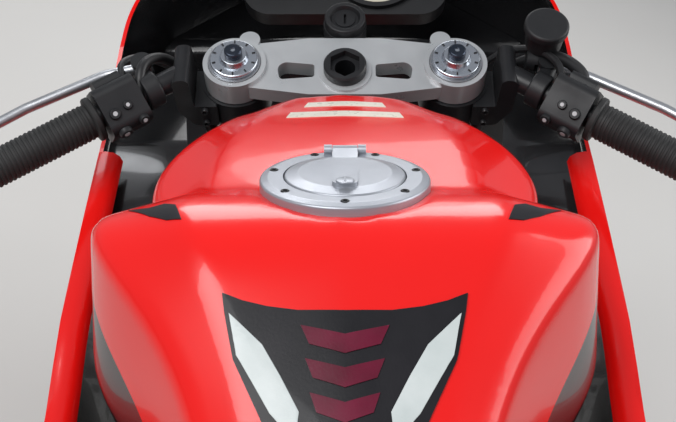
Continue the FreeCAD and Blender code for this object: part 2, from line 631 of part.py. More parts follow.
def main_frame():
    """Twin-spar frame: headstock, two spars, pivot plates, cross tubes, tank rests and the stand's bracket."""
    inner = FRAME_HALF - PLATE_THICK
    plan = [
        (470, 16, 0), (430, 44, 20), (350, 130, 80), (120, FRAME_HALF + 6, 120), (-60, FRAME_HALF, 60),
        (-190, FRAME_HALF, 0), (-190, inner, 0), (-60, inner, 60), (110, FRAME_HALF - SPAR_THICK + 6, 120),
        (318, 108, 60), (396, 16, 0),
    ]
    spar = crossed(FRAME_SIDE, plan)
    pocket = prism("y", FRAME_HALF - 6, 300, [(80, 590, 16), (290, 690, 20), (270, 740, 20), (40, 622, 18)])
    spar = spar.cut(pocket)
    head = steer(rod(V(0, 0, HEADSTOCK_BOTTOM), V(0, 0, HEADSTOCK_TOP), HEADSTOCK_R))
    bore = steer(rod(V(0, 0, HEADSTOCK_BOTTOM - 20), V(0, 0, HEADSTOCK_TOP + 20), STEM_R + RUNNING_GAP))
    yoke_space = steer(rod(V(0, 0, HEADSTOCK_TOP), V(0, 0, HEADSTOCK_TOP + 90), 150))
    lower_space = steer(rod(V(0, 0, HEADSTOCK_BOTTOM - 120), V(0, 0, HEADSTOCK_BOTTOM), 150))
    rails = [
        rod(V(x, -inner - 5, z), V(x, inner + 5, z), r)
        for x, z, r in ((PIVOT.x, PIVOT.z, PIVOT_BOLT_R), (-150, 320, 10), (-70, 560, 20))
    ]
    rests = [
        rod(V(TANK_REST_X, -112, TANK_REST_Z), V(TANK_REST_X, 112, TANK_REST_Z), 10),
        rod(V(-80, 0, 560), V(-80, 0, 650.3), 12),
    ]
    boss = rod(V(-178, 0, 606), V(-60, 0, 560), 13)
    bracket = prism("y", 96, 118, [(-162, 329, 6), (-84, 334, 6), (-50, 296, 8), (-56, 268, 8), (-84, 268, 8), (-162, 310, 6)])
    bracket = fused(bracket, rod(V(-150, 100, 320), V(-150, inner + 2, 320), 10))
    axis = stand_axis()
    stand_boss = rod(STAND_PIVOT - axis * 26, STAND_PIVOT - axis * (9 + SEAT_GAP), 13)
    stand_bolt = rod(STAND_PIVOT - axis * 20, STAND_PIVOT + axis * 14, STAND_BOLT_R)
    bolt_head = rod(STAND_PIVOT + axis * (9 + SEAT_GAP), STAND_PIVOT + axis * 16, 10)
    shock_space = aligned(Part.makeCylinder(30, SHOCK_LOW.distanceToPoint(SHOCK_TOP) + SEAT_GAP), SHOCK_LOW, SHOCK_TOP - SHOCK_LOW)
    bar_space = prism("z", CLAMP_LOW - 6, HEADSTOCK_TOP + 60, [
        (-78, -88, 0), (-102, -135, 0), (-102, -175, 0), (160, -175, 0),
        (160, 175, 0), (-102, 175, 0), (-102, 135, 0), (-78, 88, 0)])
    bar_space = steer(bar_space.cut(rod(V(0, 0, CLAMP_LOW - 10), V(0, 0, HEADSTOCK_TOP + 70), 67)))
    pieces = [mirrored(spar), head, *rails, *rests, boss, bracket, stand_boss, stand_bolt, bolt_head]
    whole = fused(spar, *pieces).cut(Part.makeCompound([bore, yoke_space, lower_space]))
    return whole.cut(bar_space).cut(shock_space).cut(steering_room(HEADSTOCK_BOTTOM - 10, CLAMP_LOW))


def swingarm():
    """Box-section swingarm with the rear axle, its nuts, the brake's bracket and caliper, and the stand spools."""
    side = [
        (PIVOT.x + 30, PIVOT.z + 24, 20), (-300, 428, 60), (-520, 372, 80), (-752, REAR_AXLE.z + 34, 16),
        (-770, REAR_AXLE.z, 16), (-752, REAR_AXLE.z - 32, 16), (-560, 300, 60), (-340, 330, 60),
        (PIVOT.x + 30, PIVOT.z - 27, 20),
    ]
    plan = [
        (PIVOT.x + 34, 104, 0), (-200, 104, 40), (-330, ARM_INNER, 60), (-780, ARM_INNER, 0),
        (-780, ARM_INNER + ARM_THICK, 0), (-330, ARM_INNER + ARM_THICK, 60), (-200, 136, 40), (PIVOT.x + 34, 136, 0),
    ]
    arm = crossed(side, plan)
    pivot_bore = rod(V(PIVOT.x, -200, PIVOT.z), V(PIVOT.x, 200, PIVOT.z), PIVOT_BOLT_R + SEAT_GAP)
    tube_r = PIVOT_R
    across = rod(V(PIVOT.x, -120, PIVOT.z), V(PIVOT.x, 120, PIVOT.z), tube_r)
    brace = prism("y", -125, 125, [(-246, 352, 10), (-246, 424, 14), (-316, 420, 20), (-340, 345, 20)])
    tongue = prism("y", -14, 14, [(-186, 326, 6), (-186, 351.7, 4), (-262, 360.7, 4), (-262, 340, 4)])
    brace_relief = rod(V(REAR_AXLE.x, -98, REAR_AXLE.z), V(REAR_AXLE.x, 98, REAR_AXLE.z), REAR_TYRE_R + 22)
    brace = brace.cut(brace_relief)
    reach = ARM_INNER + ARM_THICK
    axle = rod(V(REAR_AXLE.x, -reach - 14, REAR_AXLE.z), V(REAR_AXLE.x, reach + 14, REAR_AXLE.z), AXLE_R)
    nuts = [
        rod(V(REAR_AXLE.x, s * (reach - 2), REAR_AXLE.z), V(REAR_AXLE.x, s * (reach + 12), REAR_AXLE.z), 20)
        for s in (-1, 1)
    ]
    spacers = [
        rod(V(REAR_AXLE.x, s * (CHAIN_Y + 6), REAR_AXLE.z), V(REAR_AXLE.x, s * (ARM_INNER + 2), REAR_AXLE.z), 21)
        for s in (-1, 1)
    ]
    spools = [rod(V(-640, s * (reach - 4), 292), V(-640, s * (reach + 14), 292), 12) for s in (-1, 1)]
    arms = fused(arm, mirrored(arm), across, brace, tongue).cut(pivot_bore)
    whole = fused(arms, axle, *nuts, *spacers, *spools, rear_caliper())
    bores = [
        rod(V(-640, s * (reach + 14 - SPOOL_BORE_LENGTH), 292), V(-640, s * (reach + 20), 292), SPOOL_BORE_R)
        for s in (-1, 1)
    ]
    return whole.cut(Part.makeCompound(bores))


def rear_caliper():
    """Small caliper over the front of the rear disc, held to the right arm by its bracket."""
    slot_half = DISC_THICK / 2 + CLEARANCE
    body = prism("y", REAR_DISC_Y - 22, REAR_DISC_Y + 16, [(-42, -8, 8), (42, -8, 8), (38, 36, 12), (-38, 36, 12)])
    slot = prism("y", REAR_DISC_Y - slot_half, REAR_DISC_Y + slot_half,
                 [(-60, -40, 0), (60, -40, 0), (60, 24, 0), (-60, 24, 0)])
    body = body.cut(slot)
    body.translate(V(0, 0, 92))
    body.rotate(ORIGIN, ACROSS, 52)
    body.translate(REAR_AXLE)
    return body


def subframe():
    """Seat rails and lower struts behind the frame, with the cross ties that the seat rests on."""
    rail = tube([V(-20, 149, 596), V(-160, 116, 656), V(-430, 84, 743), V(-700, 52, 802)], 13, 60)
    strut = tube([V(-90, 149, 496), V(-220, 112, 590), V(-470, 82, 748)], 11, 50)
    seat_tie = rod(V(-200, -112, 716.4), V(-200, 112, 716.4), 9)
    posts = [rod(V(-200, s * 102, 664), V(-200, s * 102, 716), 9) for s in (-1, 1)]
    ties = fused(*[rod(V(x, -160, z), V(x, 160, z), 9) for x, z in ((-440, 756.4), (-690, 800))])
    ties = ties.common(tail_body(FAIRING_WALL + 0.8))
    frame = fused(rail, strut, mirrored(rail), mirrored(strut), seat_tie, *posts, *ties.Solids)
    return biggest(frame.cut(frame_space()))


HEAD_SIDE = [(112, 500, 8), (296, 466, 10), (330, 560, 20), (300, 640, 24), (180, 650, 30)]
EXHAUST_Z = 170.0
SPRING_RINGS = 7
SPRING_STEP = 19.0


def engine():
    """In-line four as one block: crankcase, sump, leaning cylinders, head, clutch and alternator covers."""
    case = prism("y", -132, 132, [
        (-84, 330, 20), (-30, 282, 20), (-20, 236, 20), (30, 196, 20), (210, 196, 20), (262, 250, 30),
        (268, 400, 30), (200, 470, 20), (0, 452, 30), (-70, 420, 20),
    ])
    block = prism("y", -150, 150, [(70, 420, 10), (262, 390, 20), (300, 480, 10), (116, 520, 10)])
    head = prism("y", -112, 112, HEAD_SIDE)
    fins = [
        prism("y", -156, 156, [
            (70 + 12 * k, 430 + 22 * k, 2), (274 + 10 * k, 394 + 22 * k, 2),
            (276 + 10 * k, 400 + 22 * k, 2), (72 + 12 * k, 436 + 22 * k, 2)])
        for k in range(1, 4)
    ]
    clutch = turned([(-162, 0, 0), (-162, 48, 12), (-148, 64, 6), (-130, 67, 2), (-130, 0, 0)], V(40, 0, 348))
    starter = turned([(-156, 0, 0), (-156, 36, 8), (-130, 42, 2), (-130, 0, 0)], V(176, 0, 338))
    alternator = turned([(158, 0, 0), (158, 44, 12), (146, 58, 6), (130, 62, 2), (130, 0, 0)], V(168, 0, 342))
    sprocket_cover = prism("y", 100, 134, [(-90, 356, 14), (20, 344, 14), (30, 400, 20), (20, 484, 14), (-84, 478, 14)])
    chain_room = prism("y", CHAIN_Y - 15, CHAIN_Y + 15, [(-130, 350, 0), (8, 350, 0), (8, 472, 0), (-130, 472, 0)])
    stand_room = prism("y", 92, 140, [(-170, 250, 0), (-44, 250, 0), (-44, 356, 0), (-170, 356, 0)])
    whole = fused(case, block, head, *fins, clutch, starter, alternator, sprocket_cover)
    hub = rod(DRIVE_SPROCKET + V(0, CHAIN_Y - 18, 0), DRIVE_SPROCKET + V(0, CHAIN_Y + 3, 0), 18)
    half = CHAIN_INNER_HALF - SEAT_GAP
    teeth = rod(DRIVE_SPROCKET + V(0, CHAIN_Y - half, 0), DRIVE_SPROCKET + V(0, CHAIN_Y + half, 0), DRIVE_SPROCKET_R - 3)
    return fused(whole.cut(Part.makeCompound([chain_room, stand_room])), hub, teeth)


def radiator():
    """Radiator core between two tanks, leaning forward above the exhaust."""
    core = prism("y", -140, 140, [(323, 352, 0), (349, 346, 0), (424, 612, 0), (396, 618, 0)])
    tank = prism("y", 140, 166, [(317, 344, 8), (353, 338, 8), (430, 620, 8), (390, 628, 8)])
    stays = rod(V(404, 96, 606), V(345, 104, 700), 6).cut(frame_space())
    return fused(core, tank, mirrored(tank), stays, mirrored(stays))


def exhaust_headers():
    """Four pipes from the head to a collector under the sump, and the link pipe to the silencer."""
    pipes = []
    for y, low in ((-92, -60), (-32, -20), (32, 20), (92, 60)):
        pipes.append(tube([V(300, y, 572), V(352, y, 546), V(308, y, 400), V(286, low, 226), V(236, low, EXHAUST_Z),
                           V(96, low * 0.5, EXHAUST_Z)], 17, 30))
    collector = loft([
        rounded_wire([(V(x, y * w, EXHAUST_Z + z * h), 14) for y, z in ((-1, -1), (1, -1), (1, 1), (-1, 1))])
        for x, w, h in ((124, 62, 19), (40, 34, 20), (-20, 26, 23))
    ])
    along = (SILENCER_END - SILENCER_START).normalize()
    link = tube([V(-10, 0, EXHAUST_Z), V(-76, -16, EXHAUST_Z + 2), V(-160, -160, 208), SILENCER_START - along * 66,
                 SILENCER_START + along * 26], 24, 56)
    head_space = grown_prism(HEAD_SIDE)
    return fused(collector, link, *pipes).cut(head_space)


def grown_prism(rows):
    """Room that a side outline takes right across the bike, with the seat gap all round."""
    wire = rounded_wire([(V(x, -300, z), r) for x, z, r in rows])
    return Part.Face(wire.makeOffset2D(SEAT_GAP)).extrude(V(0, 600, 0))


SILENCER_START = V(-322, -222.5, 334)
SILENCER_END = V(-690, -236, 470)


def silencer():
    """Oval-ended can with a mounting band and an open outlet."""
    axis = SILENCER_END - SILENCER_START
    length = axis.Length
    body = turned([
        (0, 24.6, 0), (0, 30, 2), (46, 56, 12), (length - 40, 60, 6), (length - 12, 50, 8), (length, 42, 3),
        (length, 34, 2), (length - 150, 30, 0), (length - 150, 0, 0), (30, 0, 0), (30, 24.6, 0),
    ], axis="z")
    band = turned([(190, 57, 0), (190, 64, 2), (214, 64, 2), (214, 57, 0)], axis="z")
    return aligned(fused(body, band), SILENCER_START, axis)


def rear_shock():
    """Damper with a coil spring drawn as rings."""
    length = SHOCK_TOP.distanceToPoint(SHOCK_LOW)
    rows = [(0, 0, 0), (0, 17, 2), (38, 17, 0), (38, 33, 2), (46, 33, 2)]
    for k in range(SPRING_RINGS):
        start = 48 + SPRING_STEP * k
        rows += [(start, 22, 0), (start + 5, 32, 5), (start + SPRING_STEP - 3, 32, 5), (start + SPRING_STEP - 2, 22, 0)]
    end = 50 + SPRING_STEP * SPRING_RINGS
    rows += [(end, 33, 2), (end + 8, 33, 2), (end + 8, 17, 0), (length, 17, 2), (length, 0, 0)]
    return aligned(turned(rows, axis="z"), SHOCK_LOW, SHOCK_TOP - SHOCK_LOW)


def chain_sides(radius_drive, radius_wheel, y_low, y_high):
    """Closed band round the two sprockets' centres, as seen from the side."""
    drive, wheel = DRIVE_SPROCKET, REAR_AXLE
    gap = drive.distanceToPoint(wheel)
    heading = math.atan2(drive.z - wheel.z, drive.x - wheel.x)
    spread = math.acos((radius_wheel - radius_drive) / gap)
    top_angle, low_angle = heading + spread, heading - spread

    def on(centre, radius, angle):
        return V(centre.x + radius * math.cos(angle), y_low, centre.z + radius * math.sin(angle))

    edges = [
        Part.LineSegment(on(wheel, radius_wheel, top_angle), on(drive, radius_drive, top_angle)).toShape(),
        Part.Arc(on(drive, radius_drive, top_angle), on(drive, radius_drive, heading),
                 on(drive, radius_drive, low_angle)).toShape(),
        Part.LineSegment(on(drive, radius_drive, low_angle), on(wheel, radius_wheel, low_angle)).toShape(),
        Part.Arc(on(wheel, radius_wheel, low_angle), on(wheel, radius_wheel, heading + math.pi),
                 on(wheel, radius_wheel, top_angle)).toShape(),
    ]
    return Part.Face(Part.Wire(edges)).extrude(V(0, y_high - y_low, 0))


def drive_chain():
    """Two side bands of the chain, either side of the sprockets, tied by pins on the straight runs."""
    bands = []
    reach = CHAIN_INNER_HALF + CHAIN_PLATE
    for low, high in ((CHAIN_Y - reach, CHAIN_Y - CHAIN_INNER_HALF), (CHAIN_Y + CHAIN_INNER_HALF, CHAIN_Y + reach)):
        outer = chain_sides(DRIVE_SPROCKET_R + 7.5, SPROCKET_R + 7.5, low, high)
        inner = chain_sides(DRIVE_SPROCKET_R - 7.5, SPROCKET_R - 7.5, low - 1, high + 1)
        bands.append(outer.cut(inner))
    pins = []
    drive, wheel = DRIVE_SPROCKET, REAR_AXLE
    for sign in (1, -1):
        for k in range(8):
            share = 0.30 + 0.08 * k
            x = drive.x + (wheel.x - drive.x) * share
            z = drive.z + sign * DRIVE_SPROCKET_R + (wheel.z - drive.z + sign * (SPROCKET_R - DRIVE_SPROCKET_R)) * share
            pins.append(rod(V(x, CHAIN_Y - reach, z), V(x, CHAIN_Y + reach, z), 4))
    return fused(*bands, *pins)


def footrests():
    """Cast hangers on the pivot plates with pegs and heel guards; gear lever left, brake pedal right."""
    inner = FRAME_HALF + SEAT_GAP
    hanger = prism("y", inner, inner + 10, [
        (-100, 388, 12), (-100, 320, 10), (-150, 306, 12), (-214, 372, 12), (-236, 470, 14), (-206, 480, 12),
        (-190, 410, 10), (-140, 420, 12),
    ])
    peg = fused(rod(V(-188, inner + 8, 392), V(-188, inner + 40, 392), 12),
                rod(V(-188, inner + 34, 392), V(-188, inner + 112, 394), 11.5))
    pivot = V(-112, inner + 9, 344)
    lever = tube([pivot, V(-112, inner + 24, 344), V(-60, inner + 24, 350), V(6, inner + 26, 352)], 5.5, 8)
    toe = rod(V(2, inner + 22, 352), V(2, inner + 62, 352), 7)
    side = fused(hanger, peg, lever, toe)
    return both_sides(side)


def fuel_tank():
    """Tank in two lofted masses: the long hump that carries the cap, and the rear body whose shoulders
    end in a crest and pull in to the seat between the rider's knees."""
    hump = loft([tank_section(*row) for row in HUMP])
    body = loft([tank_section(*row) for row in TANK_BODY])
    tank = hump.fuse(body)
    pocket = rod(CAP_CENTRE - cap_axis() * 5, CAP_CENTRE + cap_axis() * 60, CAP_R + SEAT_GAP)
    yoke_room = steer(prism("z", LOWER_YOKE_BOTTOM, TOP_YOKE_TOP + 6, [
        (140, -84, 0), (-62, -84, 0), (-62, 84, 0), (140, 84, 0)]))
    return tank.cut(pocket).cut(steering_room(LOWER_YOKE_BOTTOM, TOP_YOKE_TOP + 120)).cut(yoke_room)


# Tank sections. Columns: x; half width and height of the bottom edge, the flank, the shoulder and the
# inner edge of the top; height of the middle; radius of the flank and of the shoulder
HUMP = [
    (372, 50, 814, 70, 828, 78, 848, 44, 860, 864, 6, 6),
    (330, 72, 806, 100, 836, 108, 859, 62, 870, 873, 10, 12),
    (290, 86, 790, 122, 834, 130, 866, 78, 879, 882, 12, 14),
    (250, 96, 774, 142, 816, 148, 866, 90, 886, 890, 14, 16),
    (190, 104, 756, 156, 792, 150, 868, 98, 894, 899, 16, 16),
    (100, 110, 740, 156, 772, 147, 882, 104, 911, 916, 16, 16),
]
TANK_BODY = [
    (158, 112, 742, 178, 762, 160, 868, 104, 894, 898, 20, 10),
    (132, 118, 724, 198, 748, 181, 886, 112, 907, 910, 24, 12),
    (84, 116, 700, 180, 726, 168, 888, 108, 914, 918, 30, 14),
    (30, 110, 672, 146, 712, 130, 872, 84, 893, 897, 36, 16),
    (-42, 104, 652, 124, 704, 93, 834, 60, 850, 855, 40, 18),
    (-110, 98, 656, 106, 704, 80, 792, 50, 808, 813, 26, 18),
    (-148, 90, 672, 96, 706, 72, 770, 44, 784, 788, 18, 16),
]


def tank_section(x, yb, zb, yf, zf, ys, zs, yt, zt, z_mid, flank_r, shoulder_r):
    """Closed outline across the tank."""
    half = [(yb, zb, 12), (yf, zf, flank_r), (ys, zs, shoulder_r), (yt, zt, 22)]
    rows = [(0, zb, 0)] + half + [(0, z_mid, 120)] + [(-y, z, r) for y, z, r in reversed(half)]
    return rounded_wire([(V(x, y, z), r) for y, z, r in rows])


def cap_axis():
    slope = math.radians(CAP_SLOPE)
    return V(math.sin(slope), 0, math.cos(slope))


def fuel_cap_ring():
    """Bolted ring round the filler, countersunk for seven screws and open for the lid."""
    floor = -5 + SEAT_GAP
    ring = turned([(floor, CAP_LID_R - 8, 0), (floor, CAP_R, 0), (4, CAP_R, 2), (6, CAP_R - 6, 2),
                   (6, CAP_LID_R + 1, 0), (1, CAP_LID_R + 1, 0), (1, CAP_LID_R - 8, 0)], axis="z")
    screws = [
        rod(V(53.5 * math.cos(a), 53.5 * math.sin(a), 3), V(53.5 * math.cos(a), 53.5 * math.sin(a), 8), 3.4)
        for a in [math.radians(360 / 7 * k + 180) for k in range(7)]
    ]
    ears = [
        rod(V(CAP_LID_R + 4, s * 13 - 3, 10), V(CAP_LID_R + 4, s * 13 + 3, 10), 4) for s in (-1, 1)
    ]
    posts = [
        prism("y", s * 13 - 3, s * 13 + 3, [(CAP_LID_R + 1, 4, 0), (CAP_LID_R + 8, 4, 0), (CAP_LID_R + 8, 10, 0),
                                           (CAP_LID_R + 1, 10, 0)]) for s in (-1, 1)
    ]
    pin_holes = rod(V(CAP_LID_R + 4, -20, 10), V(CAP_LID_R + 4, 20, 10), 1.6)
    whole = fused(ring.cut(Part.makeCompound(screws)), *ears, *posts).cut(pin_holes)
    return aligned(whole, CAP_CENTRE, cap_axis())


def fuel_cap_lid():
    """Domed lid with a key cover, hinged at its front."""
    lid = turned([(1.3, 0, 0), (1.3, CAP_LID_R, 0), (6.5, CAP_LID_R, 1.5), (9, CAP_LID_R - 10, 6), (9.5, 0, 0)], axis="z")
    cover = prism("z", 8, 12, [(-34, -9, 5), (4, -9, 8), (4, 9, 8), (-34, 9, 5)])
    knuckle = fused(
        prism("y", -9.5, 9.5, [(CAP_LID_R - 12, 5, 0), (CAP_LID_R + 4, 6.4, 0), (CAP_LID_R + 4, 13, 0),
                               (CAP_LID_R - 12, 9, 0)]),
        rod(V(CAP_LID_R + 4, -9.5, 10), V(CAP_LID_R + 4, 9.5, 10), 3.5),
    )
    pin = rod(V(CAP_LID_R + 4, -15.5, 10), V(CAP_LID_R + 4, 15.5, 10), 1.6 - RUNNING_GAP)
    return aligned(fused(lid, cover, knuckle, pin), CAP_CENTRE, cap_axis())


def lid_hinge():
    """Place of the lid's hinge on the upright bike."""
    return FreeCAD.Placement(CAP_CENTRE, FreeCAD.Rotation(V(0, 0, 1), cap_axis())).multVec(V(CAP_LID_R + 4, 0, 10))


def pad_section(x, half, low, high, dish, r_low, r_high):
    """Closed outline across a seat: flat below, dished or crowned above."""
    rows = [(half - 14, low, 4), (half, low + 18, r_low), (half - 8, high, r_high)]
    rows = [(0, low, 0)] + rows + [(0, high - dish, 200)] + [(-y, z, r) for y, z, r in reversed(rows)]
    return rounded_wire([(V(x, y, z), r) for y, z, r in rows])


# Seat sections. Columns: x, half width, bottom, top, dish, lower and upper edge radius
RIDER_SEAT = [
    (-152, 70, 722, 782, -4, 8, 14),
    (-200, 82, 726, 786, -4, 8, 18),
    (-280, 112, 738, 796, -3, 8, 20),
    (-370, 142, 752, 812, 3, 8, 20),
    (-440, 146, 766, 832, 4, 8, 18),
    (-476, 132, 786, 866, 4, 8, 12),
]
PILLION_SEAT = [
    (-506, 96, 871, 914, -3, 8, 14),
    (-560, 98, 884, 930, -3, 8, 16),
    (-660, 88, 899, 940, -4, 8, 16),
    (-740, 70, 910, 938, -4, 8, 10),
]


def rider_seat():
    return loft([pad_section(*row) for row in RIDER_SEAT])


def pillion_seat():
    return biggest(loft([pad_section(*row) for row in PILLION_SEAT]).cut(tail_body(-SEAT_GAP)))


# Tail sections. Columns: x, half width below, bottom, half width at the flank, its height, half width on top, top
TAIL = [
    (-168, 92, 652, 128, 700, 100, 742),
    (-300, 112, 690, 150, 730, 130, 775),
    (-440, 112, 724, 150, 775, 138, 826),
    (-520, 100, 744, 140, 800, 122, 872),
    (-680, 78, 778, 116, 838, 100, 896),
    (-820, 54, 808, 86, 868, 74, 914),
    (-960, 26, 846, 46, 888, 36, 918),
]
TAIL_LIGHT_X = -884.0


def tail_body(shrink):
    """Loft of the whole tail, drawn in by the wall for its inside, which is open in front."""
    wires = []
    for x, yl, zl, yf, zf, yt, zt in TAIL:
        half = [(yl - shrink, zl + shrink, 10), (yf - shrink, zf, 22), (yt - shrink, zt - shrink, 14)]
        rows = [(0, zl + shrink, 0)] + half + [(0, zt + 4 - shrink, 150)] + [(-y, z, r) for y, z, r in reversed(half)]
        wires.append(rounded_wire([(V(x, y, z), r) for y, z, r in rows]))
    if shrink:
        wires[0].translate(V(20, 0, 0))
        wires[-1].translate(V(-20, 0, 0))
    return loft(wires)


# Side view of what is cut from the tail: the room of the rider's seat, the wheel's room and the lamp's end
SEAT_ROOM = [(-90, 711, 0), (-152, 721.4, 0), (-280, 737.4, 0), (-370, 751.4, 0), (-440, 765.4, 0), (-480, 785, 6),
             (-486, 1000, 0), (-90, 1000, 0)]
WHEEL_ROOM = [(-90, 500, 0), (-600, 500, 0), (-600, 776, 20), (-440, 742, 60), (-300, 708, 60), (-90, 668, 0)]
LAMP_END = [(TAIL_LIGHT_X, 700, 0), (TAIL_LIGHT_X - 30, 1000, 0), (-1100, 1000, 0), (-1100, 700, 0)]


def tail_pieces():
    """Tail cowl, open above for the rider's seat and below for the wheel, and the light that ends it."""
    outer = tail_body(0)
    cuts = [prism("y", -300, 300, rows) for rows in (SEAT_ROOM, WHEEL_ROOM, LAMP_END)]
    cowl = outer.cut(tail_body(FAIRING_WALL)).cut(Part.makeCompound(cuts))
    lamp_end = prism("y", -300, 300, LAMP_END)
    lamp_end.translate(V(-SEAT_GAP, 0, 0))
    return {"tail_cowl": biggest(cowl), "tail_light": outer.common(lamp_end)}


def biggest(shape):
    """The largest solid of a cut shape."""
    return max(shape.Solids, key=lambda solid: solid.Volume)


def plate_carrier():
    """Mudguard tongue under the tail with a blank plate and the rear lamps on stalks."""
    tongue = prism("y", -34, 34, [
        (-745, 790.8, 2), (-820, 807, 60), (-880, 822, 10), (-940, 780, 30), (-1010, 640, 10), (-1004, 560, 4),
        (-996, 560, 4), (-1000, 640, 10), (-930, 768, 30), (-870, 796, 20),
    ])
    plate = prism("y", -92, 92, [(-1004, 552, 0), (-1006, 552, 0), (-1024, 688, 0), (-1022, 688, 0)])
    backing = prism("y", -96, 96, [(-1001, 552, 0), (-1004, 552, 0), (-1022, 692, 0), (-1019, 692, 0)])
    stalk = rod(V(-962, 20, 730), V(-966, 110, 738), 6)
    lamp = aligned(turned([(-14, 0, 0), (-14, 9, 4), (6, 17, 4), (14, 16, 4), (14, 0, 0)], axis="z"),
                   V(-966, 122, 740), V(-1, 0.2, 0.15))
    return fused(tongue, backing, plate, stalk, lamp, mirrored(stalk), mirrored(lamp))


# Fairing seen from above, at each height. Columns: z; half width at the rear edge; x and half width at the
# shoulder and at the nose; shoulder and nose radius
FAIRING = [
    (134, 84, 330, 104, 420, 30, 120, 26),
    (200, 136, 380, 156, 520, 40, 160, 34),
    (300, 170, 430, 200, 640, 44, 180, 38),
    (450, 200, 480, 230, 730, 48, 180, 42),
    (600, 224, 540, 244, 800, 52, 180, 46),
    (700, 236, 580, 248, 848, 56, 180, 50),
    (780, 230, 590, 244, 868, 60, 180, 54),
    (860, 212, 570, 228, 836, 60, 170, 54),
    (940, 186, 520, 200, 756, 56, 150, 50),
    (1030, 139, 440, 164, 652, 48, 120, 44),
    (1130, 77, 340, 116, 528, 36, 80, 34),
]
FAIRING_REAR = -200.0
FAIRING_BOX = V(-150, -400, 140)


def fairing_wire(z, y_rear, x_side, y_side, x_nose, y_nose, r_side, r_nose, wall=0.0):
    """Bullet-shaped outline at one height."""
    half = [(FAIRING_REAR - 10 * wall, y_rear - wall, 0), (x_side, y_side - wall, r_side),
            (x_nose - wall, y_nose - wall / 2, r_nose)]
    rows = half + [(x, -y, r) for x, y, r in reversed(half)]
    return rounded_wire([(V(x, y, z), r) for x, y, r in rows])


def fairing_solid(wall):
    """Whole fairing as a solid, drawn in by a wall or, below zero, grown."""
    return loft([fairing_wire(*row, wall=wall) for row in FAIRING])


def fairing_inside(wall):
    """Room inside the skin, a little longer than the fairing."""
    wires = [fairing_wire(*row, wall=wall) for row in FAIRING]
    wires[0].translate(V(0, 0, wall + 6))
    wires[-1].translate(V(0, 0, 20))
    return loft(wires)


def fairing_shell(wall):
    """Skin of the whole fairing, closed at the belly and open behind and on top."""
    box = Part.makeBox(1200, 800, 970, FAIRING_BOX)
    return fairing_solid(0).common(box).cut(fairing_inside(wall))


# Fairing panels seen from the side. Each row is x, z and corner radius
SCREEN_ZONE = [
    (806, 884, 0), (700, 892, 60), (560, 888, 60), (470, 936, 30), (476, 1010, 60), (516, 1104, 16),
    (560, 1112, 0), (900, 1112, 0), (900, 884, 0),
]
NOSE_ZONE = [
    (900, 884, 0), (806, 884, 0), (700, 892, 60), (560, 888, 60), (500, 850, 20), (458, 800, 14), (520, 740, 40),
    (600, 690, 40), (640, 640, 40), (760, 622, 30), (900, 660, 0),
]
SIDE_ZONE = [
    (454, 796, 14), (514, 736, 40), (594, 686, 30), (560, 620, 60), (500, 540, 60), (452, 430, 60), (428, 330, 40),
    (408, 272, 0), (40, 272, 0), (34, 330, 20), (86, 400, 30), (80, 470, 30), (-50, 566, 40), (-90, 648, 20),
    (0, 676, 60), (120, 704, 60), (200, 738, 40), (300, 762, 60),
]
VENT_ZONE = [(92, 428, 20), (128, 372, 16), (330, 430, 24), (372, 500, 20), (300, 520, 20)]
BELLY_ZONE = [
    (408, 271.7, 0), (400, 220, 40), (340, 120, 0), (0, 120, 0), (10, 180, 30), (24, 271.7, 0),
]
LAMP_ZONE = [(740, 716, 16), (892, 726, 20), (892, 792, 30), (760, 820, 30), (664, 800, 16)]
INTAKE_ZONE = [(800, 640, 10), (900, 646, 0), (900, 700, 0), (812, 700, 12)]


def fairing_pieces():
    """Screen, nose, sides and belly pan cut from one skin, with gaps between them."""
    shell = fairing_shell(FAIRING_WALL)
    nose = shell.common(prism("y", -300, 300, NOSE_ZONE))
    lamp_cut = prism("y", 34, 300, LAMP_ZONE)
    intake = prism("y", -26, 26, INTAKE_ZONE)
    nose = nose.cut(Part.makeCompound([lamp_cut, mirrored(lamp_cut), intake]))
    side = shell.common(prism("y", 40, 300, SIDE_ZONE)).cut(prism("y", 0, 300, VENT_ZONE))
    belly = shell.common(prism("y", -300, 300, BELLY_ZONE))
    lens_outline = rounded_wire([(V(x, 34, z), r) for x, z, r in LAMP_ZONE]).makeOffset2D(-SEAT_GAP)
    lens = shell.common(Part.Face(lens_outline).extrude(V(0, 266, 0)))
    screen = shell.common(prism("y", -300, 300, SCREEN_ZONE))
    return {
        "nose_cowl": biggest(nose),
        "side_fairing_left": biggest(side),
        "side_fairing_right": mirrored(biggest(side)),
        "belly_pan": biggest(belly),
        "windscreen": biggest(screen),
        "headlight_lenses": both_sides(biggest(lens)),
    }


LAMP_TOP = 790.0


def headlights():
    """Lamp unit behind the nose with two bowls."""
    side = [(610, 716, 10), (760, 716, 20), (800, 740, 20), (790, LAMP_TOP, 20), (640, LAMP_TOP, 20)]
    plan = [(610, 240, 0), (830, 240, 0), (830, -240, 0), (610, -240, 0)]
    unit = crossed(side, plan).common(fairing_inside(FAIRING_WALL + 1))
    bowl = turned([(0, 0, 0), (0, 14, 6), (130, 46, 0), (130, 0, 0)], axis="z")
    bowl = aligned(bowl, V(704, 66, 756), V(1, 0.12, 0.05))
    return unit.cut(Part.makeCompound([bowl, mirrored(bowl)]))


DASH_CENTRE = V(610, 0, 892)
DASH_FACING = V(-0.62, 0, 0.78)
DASH_DEPTH = 66.0


